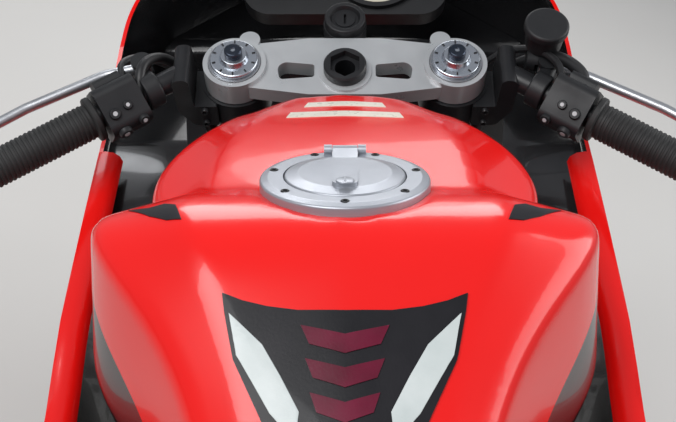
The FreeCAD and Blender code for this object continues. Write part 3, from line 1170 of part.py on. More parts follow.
def fairing_stay():
    """Stay from the headstock that carries the dash and the lamp unit."""
    facing = V(DASH_FACING).normalize()
    back = DASH_CENTRE - facing * (DASH_DEPTH + SEAT_GAP)
    start = steer(Part.Vertex(V(20, 0, 842))).Point
    joint = V(back.x, 0, LAMP_TOP + 22)
    arm = rod(start, joint + V(6, 0, 0), 10)
    foot = rod(V(joint.x, 0, LAMP_TOP + SEAT_GAP), joint, 9)
    head_space = steer(rod(V(0, 0, HEADSTOCK_BOTTOM), V(0, 0, HEADSTOCK_TOP), HEADSTOCK_R + SEAT_GAP))
    dash_space = prism("z", -DASH_DEPTH - SEAT_GAP, 0, [(-40, -40, 0), (40, -40, 0), (40, 40, 0), (-40, 40, 0)])
    dash_space = aligned(dash_space, DASH_CENTRE, DASH_FACING)
    return fused(arm, foot, rod(joint, back + facing * 12, 9)).cut(head_space).cut(dash_space)


def instrument_panel():
    """Dash: a tilted housing with a round rev counter and a display window."""
    body = prism("z", -24, 0, [(-56, -112, 30), (-56, 112, 30), (40, 104, 36), (58, 40, 40), (58, -40, 40), (40, -104, 36)])
    dial = turned([(-3, 0, 0), (-3, 44, 0), (9, 46, 0), (9, 50, 1), (-3, 52, 0)], axis="z")
    bezel = rod(V(0, -34, -4), V(0, -34, 7), 50).cut(rod(V(0, -34, 1), V(0, -34, 12), 45))
    window = prism("z", -3, 6, [(-34, 34, 8), (-34, 96, 12), (34, 92, 12), (34, 30, 8)])
    recess = prism("z", 3, 12, [(-29, 38, 6), (-29, 91, 8), (29, 87, 8), (29, 34, 6)])
    back = prism("z", -DASH_DEPTH, -20, [(-34, -70, 20), (-34, 70, 20), (40, 60, 20), (40, -60, 20)])
    whole = fused(body, bezel, window, back).cut(recess)
    return aligned(whole, DASH_CENTRE, DASH_FACING)


def mirrors():
    """Mirrors on stalks from the nose."""
    head = loft([
        rounded_wire([(V(x, y * w, z * h), min(w, h) * 0.7) for y, z in ((-1, -0.8), (1, -1), (0.9, 1), (-1, 0.8))])
        for x, w, h in ((-16, 76, 38), (6, 74, 36), (34, 40, 20))
    ])
    head.rotate(ORIGIN, V(0, 0, 1), -8)
    head.translate(V(556, 286, 1004))
    stalk = tube([V(636, 184, 892), V(622, 214, 928), V(588, 258, 990)], 9, 24)
    base = rod(V(650, 150, 868), V(634, 190, 896), 16)
    return both_sides(fused(head, stalk, base).cut(fairing_solid(-SEAT_GAP)))


def inner_panels():
    """Black infill panels between the fairing's upper edge and the frame."""
    plan = [(300, 150, 12), (330, 250, 0), (540, 250, 0), (560, 176, 16), (420, 158, 30)]
    top = prism("y", 100, 300, [(280, 726, 0), (440, 772, 60), (580, 790, 0), (580, 786, 0), (440, 768, 60), (280, 722, 0)])
    panel = prism("z", 600, 900, plan).common(top).common(fairing_inside(FAIRING_WALL))
    panel.translate(V(0, -0.9, 0))
    return both_sides(panel)


def stand_leg():
    """Direction of the deployed leg."""
    return (STAND_FOOT - STAND_PIVOT).normalize()


def stand_axis():
    """Direction of the stand's pivot bolt, square to the leg both down and folded."""
    return stand_leg().cross(V(STAND_FOLDED).normalize()).normalize()


def stand_eye():
    """Round end of the stand at its pivot."""
    axis = stand_axis()
    return rod(STAND_PIVOT - axis * 9, STAND_PIVOT + axis * 9, 15)


def side_stand():
    """Leg with a flat foot and a kick peg, turning on its bolt."""
    leg = stand_leg()
    up = V(0, -math.sin(math.radians(LEAN)), math.cos(math.radians(LEAN)))
    blade = rod(STAND_PIVOT, STAND_FOOT + up * 6, 9)
    foot = aligned(Part.makeCylinder(24, 7), STAND_FOOT, up)
    peg = rod(STAND_PIVOT + leg * 170, STAND_PIVOT + leg * 170 + V(-24, 26, 8), 5)
    axis = stand_axis()
    bore = rod(STAND_PIVOT - axis * 12, STAND_PIVOT + axis * 12, STAND_BOLT_R + RUNNING_GAP)
    return fused(blade, stand_eye(), foot, peg).cut(bore)


def park(shapes):
    """Leans every piece onto the stand and puts the origin on the floor under the middle."""
    for shape in shapes.values():
        shape.rotate(ORIGIN, V(1, 0, 0), -LEAN)
    box = FreeCAD.BoundBox()
    for shape in shapes.values():
        box.add(shape.optimalBoundingBox(True, False))
    shift = V(-box.Center.x, -box.Center.y, 0)
    for shape in shapes.values():
        shape.translate(shift)
    return shift


def build():
    """All pieces of the upright bike by name."""
    pieces = {
        "main_frame": main_frame(),
        "subframe": subframe(),
        "swingarm": swingarm(),
        "rear_shock": rear_shock(),
        "engine": engine(),
        "radiator": radiator(),
        "exhaust_headers": exhaust_headers(),
        "silencer": silencer(),
        "drive_chain": drive_chain(),
        "footrests": footrests(),
        "fuel_tank": fuel_tank(),
        "fuel_cap_ring": fuel_cap_ring(),
        "fuel_cap_lid": fuel_cap_lid(),
        "rider_seat": rider_seat(),
        "pillion_seat": pillion_seat(),
        "plate_carrier": plate_carrier(),
        "headlights": headlights(),
        "instrument_panel": instrument_panel(),
        "fairing_stay": fairing_stay(),
        "inner_panels": inner_panels(),
        "mirrors": mirrors(),
        "side_stand": side_stand(),
        "top_yoke": top_yoke(),
        "lower_yoke": lower_yoke(),
        "fork_tubes": fork_tubes(),
        "fork_caps": fork_caps(),
        "fork_feet": fork_feet(),
        "front_calipers": front_calipers(),
        "front_mudguard": front_mudguard(),
        "clip_ons": clip_ons(),
        "grips": grips(),
        "bar_controls": bar_controls(),
        "hand_levers": hand_levers(),
        "ignition_lock": ignition_lock(),
    }
    pieces.update(tail_pieces())
    pieces.update(fairing_pieces())
    pieces.update(front_wheel())
    pieces.update(rear_wheel())
    return pieces


def main():
    pieces = build()
    park(pieces)
    os.makedirs(STEP_FOLDER, exist_ok=True)
    for name, shape in pieces.items():
        shape.exportStep(f"{STEP_FOLDER}/{name}.step")


if __name__ == "__main__":
    main()
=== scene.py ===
"""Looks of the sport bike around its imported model.

Places are millimetres on the upright bike: +X to its front, +Y to its left, +Z up, with X 0 about midway
between the axles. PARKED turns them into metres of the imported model, where the bike leans on its side stand.
Places on the steering assembly are millimetres round the steering axis, and STEERED turns those into the same
metres.
"""

import json
import math

import bmesh
import bpy
from mathutils import Matrix, Vector
from mathutils.bvhtree import BVHTree

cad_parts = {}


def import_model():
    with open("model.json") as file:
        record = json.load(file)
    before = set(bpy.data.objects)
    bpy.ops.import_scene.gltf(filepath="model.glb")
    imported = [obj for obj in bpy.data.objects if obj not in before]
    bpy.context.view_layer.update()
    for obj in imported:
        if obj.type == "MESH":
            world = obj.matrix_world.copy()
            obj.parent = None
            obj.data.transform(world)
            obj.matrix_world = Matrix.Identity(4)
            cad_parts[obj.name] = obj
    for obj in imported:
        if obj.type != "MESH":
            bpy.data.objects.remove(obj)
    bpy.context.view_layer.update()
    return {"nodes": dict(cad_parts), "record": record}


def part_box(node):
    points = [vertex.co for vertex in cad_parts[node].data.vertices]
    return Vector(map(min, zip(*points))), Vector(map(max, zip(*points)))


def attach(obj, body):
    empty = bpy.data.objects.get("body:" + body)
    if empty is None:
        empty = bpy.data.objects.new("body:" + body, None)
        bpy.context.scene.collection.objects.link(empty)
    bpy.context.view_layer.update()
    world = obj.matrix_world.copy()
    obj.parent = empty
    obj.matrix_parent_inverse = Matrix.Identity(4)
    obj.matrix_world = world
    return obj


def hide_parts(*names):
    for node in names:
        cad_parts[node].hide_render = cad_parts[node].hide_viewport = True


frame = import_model()
NODES = frame["nodes"]

MM = 0.001
LEAN = math.radians(11.0)
RAKE = math.radians(24.0)
REAR_AXLE = Vector((-700.0, 0.0, 312.0 + 100.0 * (1 / math.cos(LEAN) - 1)))
FRONT_AXLE = Vector((675.0, 0.0, 300.0 + 62.0 * (1 / math.cos(LEAN) - 1)))
FORK_OFFSET = 7.7
FORK_HALF_SPACING = 105.0
ABOVE = 1200.0  # height over the whole bike, from which rays drop
BESIDE = 420.0  # distance out from the bike's middle, past its panels
DOWN = (0, 0, -1)


def middle(node):
    low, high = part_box(node)
    return (low + high) / 2


def parked_matrix():
    """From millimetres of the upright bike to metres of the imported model."""
    lean = Matrix.Rotation(-LEAN, 4, "X")
    axle = lean @ REAR_AXLE * MM
    tyre = middle("rear_tyre")
    shift = Vector((tyre.x - axle.x, tyre.y - axle.y, 0))
    return Matrix.Translation(shift) @ lean @ Matrix.Scale(MM, 4)


PARKED = parked_matrix()
TRAIL = (FRONT_AXLE.z * math.sin(RAKE) - FORK_OFFSET) / math.cos(RAKE)
STEER_FOOT = Vector((FRONT_AXLE.x + TRAIL, 0, 0))
STEERED = PARKED @ Matrix.Translation(STEER_FOOT) @ Matrix.Rotation(-RAKE, 4, "Y")


# Materials

PAINTED_BLACK = (0.012, 0.012, 0.013)
PAINTED_GREY = (0.018, 0.018, 0.019)
BLACK = (0.009, 0.0095, 0.011)
BLACK_WORN = (0.015, 0.0155, 0.017)
FAIRING_MIDDLE = Vector((400.0, 0.0, 560.0))
LENS_TOP = 786.0
KNEE_SLOPE = 0.7
KNEE_HEIGHT = 754.8
KNEE_FRONT = 116.0


class Nodes:
    """Short way to wire a material's nodes."""

    def __init__(self, name):
        self.material = bpy.data.materials.new(name)
        self.material.use_nodes = True
        self.tree = self.material.node_tree
        self.shader = self.tree.nodes["Principled BSDF"]

    def add(self, kind, **values):
        node = self.tree.nodes.new(kind)
        for key, value in values.items():
            if key in node.inputs:
                node.inputs[key].default_value = value
            else:
                setattr(node, key, value)
        return node

    def link(self, source, target):
        self.tree.links.new(source, target)

    def place(self):
        return self.add("ShaderNodeTexCoord").outputs["Object"]

    def noise(self, scale, detail=4.0, stretch=None):
        """Noise in the object's own metres; stretch scales each axis."""
        node = self.add("ShaderNodeTexNoise", Scale=scale, Detail=detail)
        source = self.place()
        if stretch:
            mapping = self.add("ShaderNodeMapping")
            mapping.inputs["Scale"].default_value = stretch
            self.link(source, mapping.inputs["Vector"])
            source = mapping.outputs["Vector"]
        self.link(source, node.inputs["Vector"])
        return node.outputs["Fac"]

    def spread(self, value, low, high):
        """A noise value spread to a range."""
        node = self.add("ShaderNodeMapRange")
        for key, number in (("From Min", 0.3), ("From Max", 0.7), ("To Min", low), ("To Max", high)):
            node.inputs[key].default_value = number
        self.link(value, node.inputs["Value"])
        return node.outputs["Result"]

    def mix(self, fac, first, second):
        """Colour between two, each a colour or a socket."""
        node = self.add("ShaderNodeMix", data_type="RGBA")
        self.link(fac, node.inputs["Factor"])
        for index, colour in ((6, first), (7, second)):
            if isinstance(colour, tuple):
                node.inputs[index].default_value = (*colour, 1.0)
            else:
                self.link(colour, node.inputs[index])
        return node.outputs[2]

    def upright(self):
        """X, Y and Z of the upright bike in millimetres."""
        mapping = self.add("ShaderNodeMapping", vector_type="TEXTURE")
        mapping.inputs["Location"].default_value = PARKED.translation
        mapping.inputs["Rotation"].default_value = (-LEAN, 0, 0)
        mapping.inputs["Scale"].default_value = (MM, MM, MM)
        self.link(self.place(), mapping.inputs["Vector"])
        split = self.add("ShaderNodeSeparateXYZ")
        self.link(mapping.outputs["Vector"], split.inputs["Vector"])
        return split.outputs

    def math(self, operation, first, second):
        """Result of an operation on two sockets or numbers."""
        node = self.add("ShaderNodeMath", operation=operation)
        for target, value in zip(node.inputs, (first, second)):
            if isinstance(value, (int, float)):
                target.default_value = value
            else:
                self.link(value, target)
        return node.outputs["Value"]

    def bump(self, height, strength, distance):
        node = self.add("ShaderNodeBump", Strength=strength, Distance=distance)
        self.link(height, node.inputs["Height"])
        return node.outputs["Normal"]


def inside(nodes):
    """Mask of a shell's faces that look to the bike's middle."""
    coords = nodes.add("ShaderNodeTexCoord")
    away = nodes.add("ShaderNodeVectorMath", operation="SUBTRACT")
    nodes.link(coords.outputs["Object"], away.inputs[0])
    away.inputs[1].default_value = PARKED @ FAIRING_MIDDLE
    facing = nodes.add("ShaderNodeVectorMath", operation="DOT_PRODUCT")
    nodes.link(away.outputs["Vector"], facing.inputs[0])
    nodes.link(coords.outputs["Normal"], facing.inputs[1])
    return nodes.math("LESS_THAN", facing.outputs["Value"], 0.0)


def lamp_back(nodes):
    """Mask of the headlight unit's faces that don't look ahead."""
    split = nodes.add("ShaderNodeSeparateXYZ")
    nodes.link(nodes.add("ShaderNodeTexCoord").outputs["Normal"], split.inputs["Vector"])
    return nodes.math("LESS_THAN", split.outputs["X"], 0.2)


def lens_edge(nodes):
    """Mask of the headlight lenses' upper edge."""
    return nodes.math("GREATER_THAN", nodes.upright()["Z"], LENS_TOP)


def knee_panel(nodes):
    """Mask of the tank's flank below its knee edge, behind the fairing."""
    place = nodes.upright()
    below = nodes.math("SUBTRACT", nodes.math("MULTIPLY", place["X"], KNEE_SLOPE), place["Z"])
    under = nodes.math("GREATER_THAN", below, -KNEE_HEIGHT)
    return nodes.math("MULTIPLY", under, nodes.math("LESS_THAN", place["X"], KNEE_FRONT))


def surface(name, colour, other, rough, metallic=0.0, coat=0.0, grain=(600.0, 0.2, 0.0003), mottle=18.0,
            stretch=None, specular=None, sheen=0.0, dark=None):
    """Procedural finish: colour that drifts between two, uneven gloss and a fine grain.

    A dark mask says where it is black plastic.
    """
    nodes = Nodes(name)
    shader = nodes.shader
    drift = nodes.spread(nodes.noise(mottle), 0.0, 1.0)
    base = nodes.mix(drift, colour, other)
    if dark:
        mask = dark(nodes)
        base = nodes.mix(mask, base, PAINTED_BLACK)
        if metallic:
            bare = nodes.math("SUBTRACT", 1.0, mask)
            nodes.link(nodes.math("MULTIPLY", bare, metallic), shader.inputs["Metallic"])
    nodes.link(base, shader.inputs["Base Color"])
    low, high = rough
    nodes.link(nodes.spread(nodes.noise(mottle * 2.3, 6.0, stretch), low, high), shader.inputs["Roughness"])
    scale, strength, distance = grain
    nodes.link(nodes.bump(nodes.noise(scale, 3.0, stretch), strength, distance), shader.inputs["Normal"])
    if not dark:
        shader.inputs["Metallic"].default_value = metallic
    if coat:
        shader.inputs["Coat Weight"].default_value = coat
        shader.inputs["Coat Roughness"].default_value = 0.04
    if specular is not None:
        shader.inputs["Specular IOR Level"].default_value = specular
    if sheen:
        shader.inputs["Sheen Weight"].default_value = sheen
    return nodes.material


def clear(name, colour, alpha, dark=None):
    """Thin see-through plastic with faint wipe marks; dark is a mask where it is painted black."""
    nodes = Nodes(name)
    shader = nodes.shader
    if dark:
        mask = dark(nodes)
        nodes.link(nodes.mix(mask, colour, PAINTED_BLACK), shader.inputs["Base Color"])
        nodes.link(nodes.math("MAXIMUM", mask, alpha), shader.inputs["Alpha"])
    else:
        shader.inputs["Base Color"].default_value = (*colour, 1.0)
        shader.inputs["Alpha"].default_value = alpha
    nodes.link(nodes.spread(nodes.noise(30.0, 6.0), 0.04, 0.12), shader.inputs["Roughness"])
    shader.inputs["IOR"].default_value = 1.49
    return nodes.material


RED = (0.84, 0.008, 0.006)
RED_DEEP = (0.76, 0.006, 0.005)
PAINTED = dict(coat=0.35, grain=(90.0, 0.03, 0.0003), mottle=3.0, specular=0.3)

# Two colours to drift between, lowest and highest roughness, and what is unlike the usual finish
FINISH_ROWS = {
    "frame_grey": ((0.03, 0.03, 0.033), (0.04, 0.04, 0.044), (0.3, 0.42), dict(metallic=0.3, coat=0.2)),
    "black_metal": (BLACK, BLACK_WORN, (0.3, 0.46), dict(specular=0.35)),
    "engine_grey": ((0.075, 0.075, 0.08), (0.1, 0.1, 0.105), (0.42, 0.6),
                    dict(metallic=0.5, grain=(900.0, 0.35, 0.0005))),
    "radiator_black": ((0.02, 0.02, 0.02), (0.035, 0.035, 0.035), (0.5, 0.65), dict(metallic=0.4)),
    "exhaust_steel": ((0.42, 0.33, 0.22), (0.5, 0.46, 0.42), (0.22, 0.4), dict(metallic=1.0, mottle=9.0)),
    "silencer_metal": ((0.46, 0.47, 0.49), (0.4, 0.41, 0.43), (0.25, 0.38),
                       dict(metallic=1.0, grain=(500.0, 0.15, 0.0002))),
    "chain_steel": ((0.28, 0.26, 0.22), (0.14, 0.12, 0.1), (0.3, 0.5), dict(metallic=0.9, mottle=60.0)),
    "cast_aluminium": ((0.44, 0.45, 0.47), (0.5, 0.51, 0.53), (0.3, 0.42),
                       dict(metallic=0.9, grain=(800.0, 0.25, 0.0003))),
    "red_paint": (RED, RED_DEEP, (0.2, 0.26), dict(PAINTED, dark=knee_panel)),
    "red_plastic": (RED, RED_DEEP, (0.2, 0.26), PAINTED),
    "cap_silver": ((0.36, 0.38, 0.42), (0.42, 0.44, 0.48), (0.34, 0.44),
                   dict(metallic=0.6, grain=(1400.0, 0.2, 0.0002))),
    "seat_cover": (PAINTED_BLACK, PAINTED_GREY, (0.5, 0.66),
                   dict(grain=(420.0, 0.6, 0.0008), mottle=12.0, sheen=0.15)),
    "black_plastic": (BLACK, BLACK_WORN, (0.4, 0.55), dict(grain=(1100.0, 0.35, 0.0003), specular=0.35)),
    "gloss_black": (PAINTED_BLACK, PAINTED_GREY, (0.14, 0.22), dict(coat=0.6, grain=(90.0, 0.03, 0.0003))),
    "lamp_bowl": ((0.62, 0.63, 0.65), (0.55, 0.56, 0.58), (0.08, 0.16), dict(metallic=1.0, dark=lamp_back)),
    "yoke_silver": ((0.5, 0.52, 0.53), (0.58, 0.6, 0.61), (0.26, 0.4),
                    dict(metallic=0.55, grain=(1200.0, 0.25, 0.0002))),
    "fork_metal": ((0.4, 0.41, 0.43), (0.46, 0.47, 0.49), (0.22, 0.34),
                   dict(metallic=0.95, grain=(400.0, 0.1, 0.0002), stretch=(1, 1, 0.1))),
    "fork_cap_silver": ((0.48, 0.52, 0.58), (0.55, 0.58, 0.62), (0.2, 0.3),
                        dict(metallic=0.95, grain=(900.0, 0.1, 0.0002))),
    "wheel_paint": ((0.03, 0.03, 0.032), (0.045, 0.045, 0.048), (0.24, 0.36), dict(metallic=0.4, coat=0.5)),
    "tyre_rubber": ((0.016, 0.016, 0.016), (0.03, 0.029, 0.028), (0.6, 0.8),
                    dict(grain=(300.0, 0.4, 0.0006), mottle=24.0)),
    "disc_steel": ((0.5, 0.5, 0.5), (0.42, 0.42, 0.42), (0.22, 0.34),
                   dict(metallic=1.0, grain=(700.0, 0.2, 0.0002))),
    "grip_rubber": ((0.01, 0.01, 0.01), (0.018, 0.018, 0.018), (0.55, 0.72),
                    dict(grain=(900.0, 0.4, 0.0004))),
}
FINISHES = {name: surface(name, *row[:3], **row[3]) for name, row in FINISH_ROWS.items()}
FINISHES["red_lens"] = clear("red_lens", (0.55, 0.01, 0.01), alpha=0.85)
FINISHES["clear_screen"] = clear("clear_screen", (0.24, 0.26, 0.28), alpha=0.3)
FINISHES["lamp_lens"] = clear("lamp_lens", (0.8, 0.83, 0.85), alpha=0.16, dark=lens_edge)

SHELL_RED = surface("shell_red", RED, RED_DEEP, (0.2, 0.26), dark=inside, **PAINTED)
STRIPE = surface("stripe", (0.72, 0.68, 0.58), (0.78, 0.74, 0.64), (0.25, 0.35), coat=0.3, mottle=60.0)
SWITCH_MARK = surface("switch_mark", (0.4, 0.41, 0.42), (0.5, 0.51, 0.52), (0.4, 0.5))
PAD_BLACK = surface("pad_black", (0.008, 0.008, 0.01), (0.014, 0.013, 0.016), (0.3, 0.4), coat=0.1,
                    grain=(500.0, 0.2, 0.0003), specular=0.2)
PAD_SILVER = surface("pad_silver", (0.5, 0.55, 0.54), (0.62, 0.66, 0.65), (0.3, 0.4), coat=0.2, mottle=30.0,
                     specular=0.3)
PAD_WINE = surface("pad_wine", (0.075, 0.003, 0.014), (0.15, 0.006, 0.03), (0.3, 0.4), coat=0.1, mottle=26.0,
                   specular=0.2)
ADJUSTER = surface("adjuster", (0.03, 0.04, 0.06), (0.05, 0.06, 0.08), (0.2, 0.3), 0.8)
CABLE = surface("cable", (0.008, 0.008, 0.009), (0.014, 0.014, 0.015), (0.35, 0.5),
                grain=(700.0, 0.3, 0.0003))
DIAL_CREAM = surface("dial_cream", (0.62, 0.58, 0.46), (0.66, 0.62, 0.5), (0.4, 0.5),
                     grain=(900.0, 0.1, 0.0001))
DIAL_RED = surface("dial_red", (0.5, 0.02, 0.01), (0.58, 0.03, 0.02), (0.4, 0.5))
INK = surface("ink", (0.02, 0.02, 0.02), (0.03, 0.03, 0.03), (0.5, 0.6))
MIRROR = surface("mirror", (0.75, 0.77, 0.8), (0.72, 0.74, 0.77), (0.02, 0.05), 1.0,
                 grain=(60.0, 0.01, 0.0001))
DISPLAY = surface("display", (0.1, 0.12, 0.1), (0.13, 0.15, 0.12), (0.1, 0.2), coat=0.6)

SHELLS = ("nose_cowl", "side_fairing_left", "side_fairing_right", "belly_pan")
for row in frame["record"]["subparts"]:
    for holder in NODES[row["node"]].material_slots:
        holder.material = SHELL_RED if row["node"] in SHELLS else FINISHES[row["material_slot"]]


# Building blocks for the pieces


def turns(count, start=0.0):
    """Angles spread evenly over a whole turn; start is a share of one step."""
    return [2 * math.pi * (k + start) / count for k in range(count)]


def linked(name, data):
    """New object in the scene."""
    made = bpy.data.objects.new(name, data)
    bpy.context.scene.collection.objects.link(made)
    return made


def smooth_faces(mesh):
    mesh.polygons.foreach_set("use_smooth", [True] * len(mesh.polygons))


def bevelled(made, width, degrees):
    """Rounds an object's edges that are sharper than an angle."""
    edge = made.modifiers.new("edge", "BEVEL")
    edge.width = width * MM
    edge.segments = 2
    edge.limit_method = "ANGLE"
    edge.angle_limit = math.radians(degrees)


class Shape:
    """Mesh that grows by simple forms, in millimetres."""

    def __init__(self):
        self.verts = []
        self.faces = []

    def add(self, verts, faces):
        base = len(self.verts)
        self.verts += [Vector(v) for v in verts]
        self.faces += [tuple(base + i for i in face) for face in faces]

    def lathe(self, rows, centre=(0, 0, 0), axis=(0, 0, 1), steps=24):
        """Turned form; rows are (radius, height along the axis), and a first or last radius of 0 closes it.

        A radius may be a function of the angle.
        """
        turn = Vector(axis).to_track_quat("Z", "Y").to_matrix()
        rings, verts, faces = [], [], []
        for radius, height in rows:
            count = steps if callable(radius) or radius > 0 else 1
            rings.append(range(len(verts), len(verts) + count))
            for angle in turns(steps)[:count]:
                reach = radius(angle) if callable(radius) else radius
                spot = Vector((reach * math.cos(angle), reach * math.sin(angle), height))
                verts.append(turn @ spot + Vector(centre))
        for low, high in zip(rings, rings[1:]):
            for k in range(steps):
                after = (k + 1) % steps
                corners = (low[k % len(low)], low[after % len(low)],
                           high[after % len(high)], high[k % len(high)])
                faces.append(tuple(dict.fromkeys(corners)))
        self.add(verts, [face for face in faces if len(face) > 2])

    def sweep(self, spots, radius, steps):
        """Round bar through points."""
        side = None
        verts = []
        for before, spot, after in zip([spots[0], *spots], spots, [*spots[1:], spots[-1]]):
            along = (after - before).normalized()
            if side is None:
                side = along.orthogonal().normalized()
            side = (side - along * side.dot(along)).normalized()
            other = along.cross(side)
            for angle in turns(steps):
                verts.append(spot + (side * math.cos(angle) + other * math.sin(angle)) * radius)
        self.loft(verts, steps)

    def loft(self, verts, size, closed=False):
        """Skin over rings of so many points; closed joins last to first, else the ends are filled."""
        count = len(verts) // size
        faces = []
        for i in range(count if closed else count - 1):
            low, high = i * size, ((i + 1) % count) * size
            for k in range(size):
                after = (k + 1) % size
                faces.append((low + k, low + after, high + after, high + k))
        if not closed:
            faces += [tuple(reversed(range(size))), tuple(range((count - 1) * size, count * size))]
        self.add(verts, faces)

    def block(self, size, place, turn):
        """Box with its middle at a place."""
        half = [s / 2 for s in size]
        corners = [(x, y, z) for x in (-1, 1) for y in (-1, 1) for z in (-1, 1)]
        verts = [turn @ Vector([c * h for c, h in zip(corner, half)]) + Vector(place) for corner in corners]
        self.add(verts, [(0, 1, 3, 2), (4, 6, 7, 5), (0, 4, 5, 1), (2, 3, 7, 6), (0, 2, 6, 4), (1, 5, 7, 3)])

    def plate(self, outline, thick, turn, place):
        """Flat plate from an outline in its own plane, turned and put at a place."""
        count = len(outline)
        verts = [turn @ Vector((u, v, h)) + Vector(place) for h in (0, thick) for u, v in outline]
        faces = [tuple(reversed(range(count))), tuple(range(count, 2 * count))]
        faces += [(k, (k + 1) % count, count + (k + 1) % count, count + k) for k in range(count)]
        self.add(verts, faces)

    def bolt(self, place, axis, radius, height, socket=True):
        """Cap screw with a hexagon socket, or a domed screw."""
        inner = radius * 0.55
        if socket:
            rows = [(radius, 0), (radius, height * 0.8), (radius * 0.88, height), (inner, height),
                    (inner, height * 0.3), (0, height * 0.3)]
        else:
            rows = [(radius, 0), (radius, height * 0.35), (radius * 0.8, height * 0.8), (inner, height),
                    (inner * 0.7, height * 0.5), (0, height * 0.5)]
        self.lathe(rows, place, axis, 18)

    def build(self, name, finish, body, matrix=PARKED, bevel=0.0, angle=35.0, slot=None):
        """Object from the mesh, riding on a body; the finish is a material or a record slot's name."""
        mesh = bpy.data.meshes.new(name)
        mesh.from_pydata([matrix @ v for v in self.verts], [], self.faces)
        mesh.validate()
        work = bmesh.new()
        work.from_mesh(mesh)
        bmesh.ops.recalc_face_normals(work, faces=work.faces)
        work.to_mesh(mesh)
        work.free()
        smooth_faces(mesh)
        mesh.set_sharp_from_angle(angle=math.radians(angle))
        made = linked(name, mesh)
        mesh.materials.append(FINISHES[finish] if isinstance(finish, str) else finish)
        if bevel:
            bevelled(made, bevel, 40)
        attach(made, body)
        return made


def skin_of(node):
    """Tree of a node's surface, in millimetres of the upright bike; the smooth tank stands for the tank's."""
    back = PARKED.inverted()
    mesh = TANK.data if node == "fuel_tank" else NODES[node].data
    mesh.calc_loop_triangles()
    verts = [back @ v.co for v in mesh.vertices]
    return BVHTree.FromPolygons(verts, [tuple(t.vertices) for t in mesh.loop_triangles])


def drop(tree, start, direction):
    """Place and outward normal where a ray meets a surface."""
    heading = Vector(direction).normalized()
    spot, normal, _, _ = tree.ray_cast(Vector(start), heading)
    if spot is None:
        return None, None
    if normal.dot(heading) > 0:
        normal = -normal
    return spot, normal


def smooth_line(points, parts=8):
    """Smooth curve through points."""
    spots = [Vector(p) for p in points]
    ends = [spots[0] * 2 - spots[1], *spots, spots[-1] * 2 - spots[-2]]
    line = []
    for a, b, c, d in zip(ends, ends[1:], ends[2:], ends[3:]):
        for k in range(parts):
            t = k / parts
            line.append(0.5 * (2 * b + (c - a) * t + (2 * a - 5 * b + 4 * c - d) * t ** 2
                               + (3 * b - a - 3 * c + d) * t ** 3))
    return line + [spots[-1]]


def apply_modifiers(made):
    graph = bpy.context.evaluated_depsgraph_get()
    result = bpy.data.meshes.new_from_object(made.evaluated_get(graph))
    made.modifiers.clear()
    made.data = result


def remeshed(name, node, voxel):
    """Copy of a node's solid, about to be remeshed in even voxels of a size in metres."""
    made = linked(name, NODES[node].data.copy())
    weld = made.modifiers.new("weld", "WELD")
    weld.merge_threshold = 0.0002
    shell = made.modifiers.new("voxels", "REMESH")
    shell.mode = "VOXEL"
    shell.voxel_size = voxel
    return made


def stand_in(made, node, finish):
    """Finishes a smooth chassis piece that replaces a node."""
    smooth_faces(made.data)
    made.data.materials.clear()
    made.data.materials.append(FINISHES[finish])
    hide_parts(node)
    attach(made, "chassis")


# Tank

CAP_CENTRE = Vector((150.0, 0.0, 905.5))
CAP_SLOPE = math.radians(12.6)
CAP_AXIS = Vector((math.sin(CAP_SLOPE), 0, math.cos(CAP_SLOPE)))


def smooth_tank():
    """The tank's own solid, remeshed and smoothed so that its edges and reflections flow."""
    made = remeshed("tank_shell", "fuel_tank", 0.0045)
    flow = made.modifiers.new("flow", "SMOOTH")
    flow.factor = 0.5
    flow.iterations = 8
    apply_modifiers(made)
    stand_in(made, "fuel_tank", "red_paint")
    return made


def inlay(name, outlines, rise, finish, step=4.0, bevel=0.5):
    """Thin pad that follows the tank: outlines are seen from above, (across, along) in millimetres.

    Rise is its height over the tank, and step the spacing of its mesh.
    """
    tree = skin_of("fuel_tank")
    work = bmesh.new()
    for outline in outlines:
        work.faces.new([work.verts.new((x, y, 0)) for y, x in outline])
    for axis in (0, 1):
        spots = [v.co[axis] for v in work.verts]
        low, high = min(spots), max(spots)
        for k in range(1, int((high - low) / step) + 1):
            point = Vector((0, 0, 0))
            point[axis] = low + k * step
            normal = Vector((0, 0, 0))
            normal[axis] = 1
            geometry = work.verts[:] + work.edges[:] + work.faces[:]
            bmesh.ops.bisect_plane(work, geom=geometry, plane_co=point, plane_no=normal, dist=0.01)
    for vert in work.verts:
        spot, normal = drop(tree, (vert.co.x, vert.co.y, ABOVE), DOWN)
        vert.co = PARKED @ (spot + normal * rise)
    bmesh.ops.recalc_face_normals(work, faces=work.faces)
    if sum(f.normal.z for f in work.faces) < 0:
        bmesh.ops.reverse_faces(work, faces=work.faces)
    mesh = bpy.data.meshes.new(name)
    work.to_mesh(mesh)
    work.free()
    smooth_faces(mesh)
    mesh.materials.append(finish)
    made = linked(name, mesh)
    solid = made.modifiers.new("thick", "SOLIDIFY")
    solid.thickness = (rise + 0.3) * MM
    solid.offset = -1
    bevelled(made, bevel, 50)
    made.modifiers.new("shade", "WEIGHTED_NORMAL")
    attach(made, "chassis")


def both_ways(outline):
    """An outline of one half and its mirror across the middle."""
    return outline, [(-y, x) for y, x in reversed(outline)]


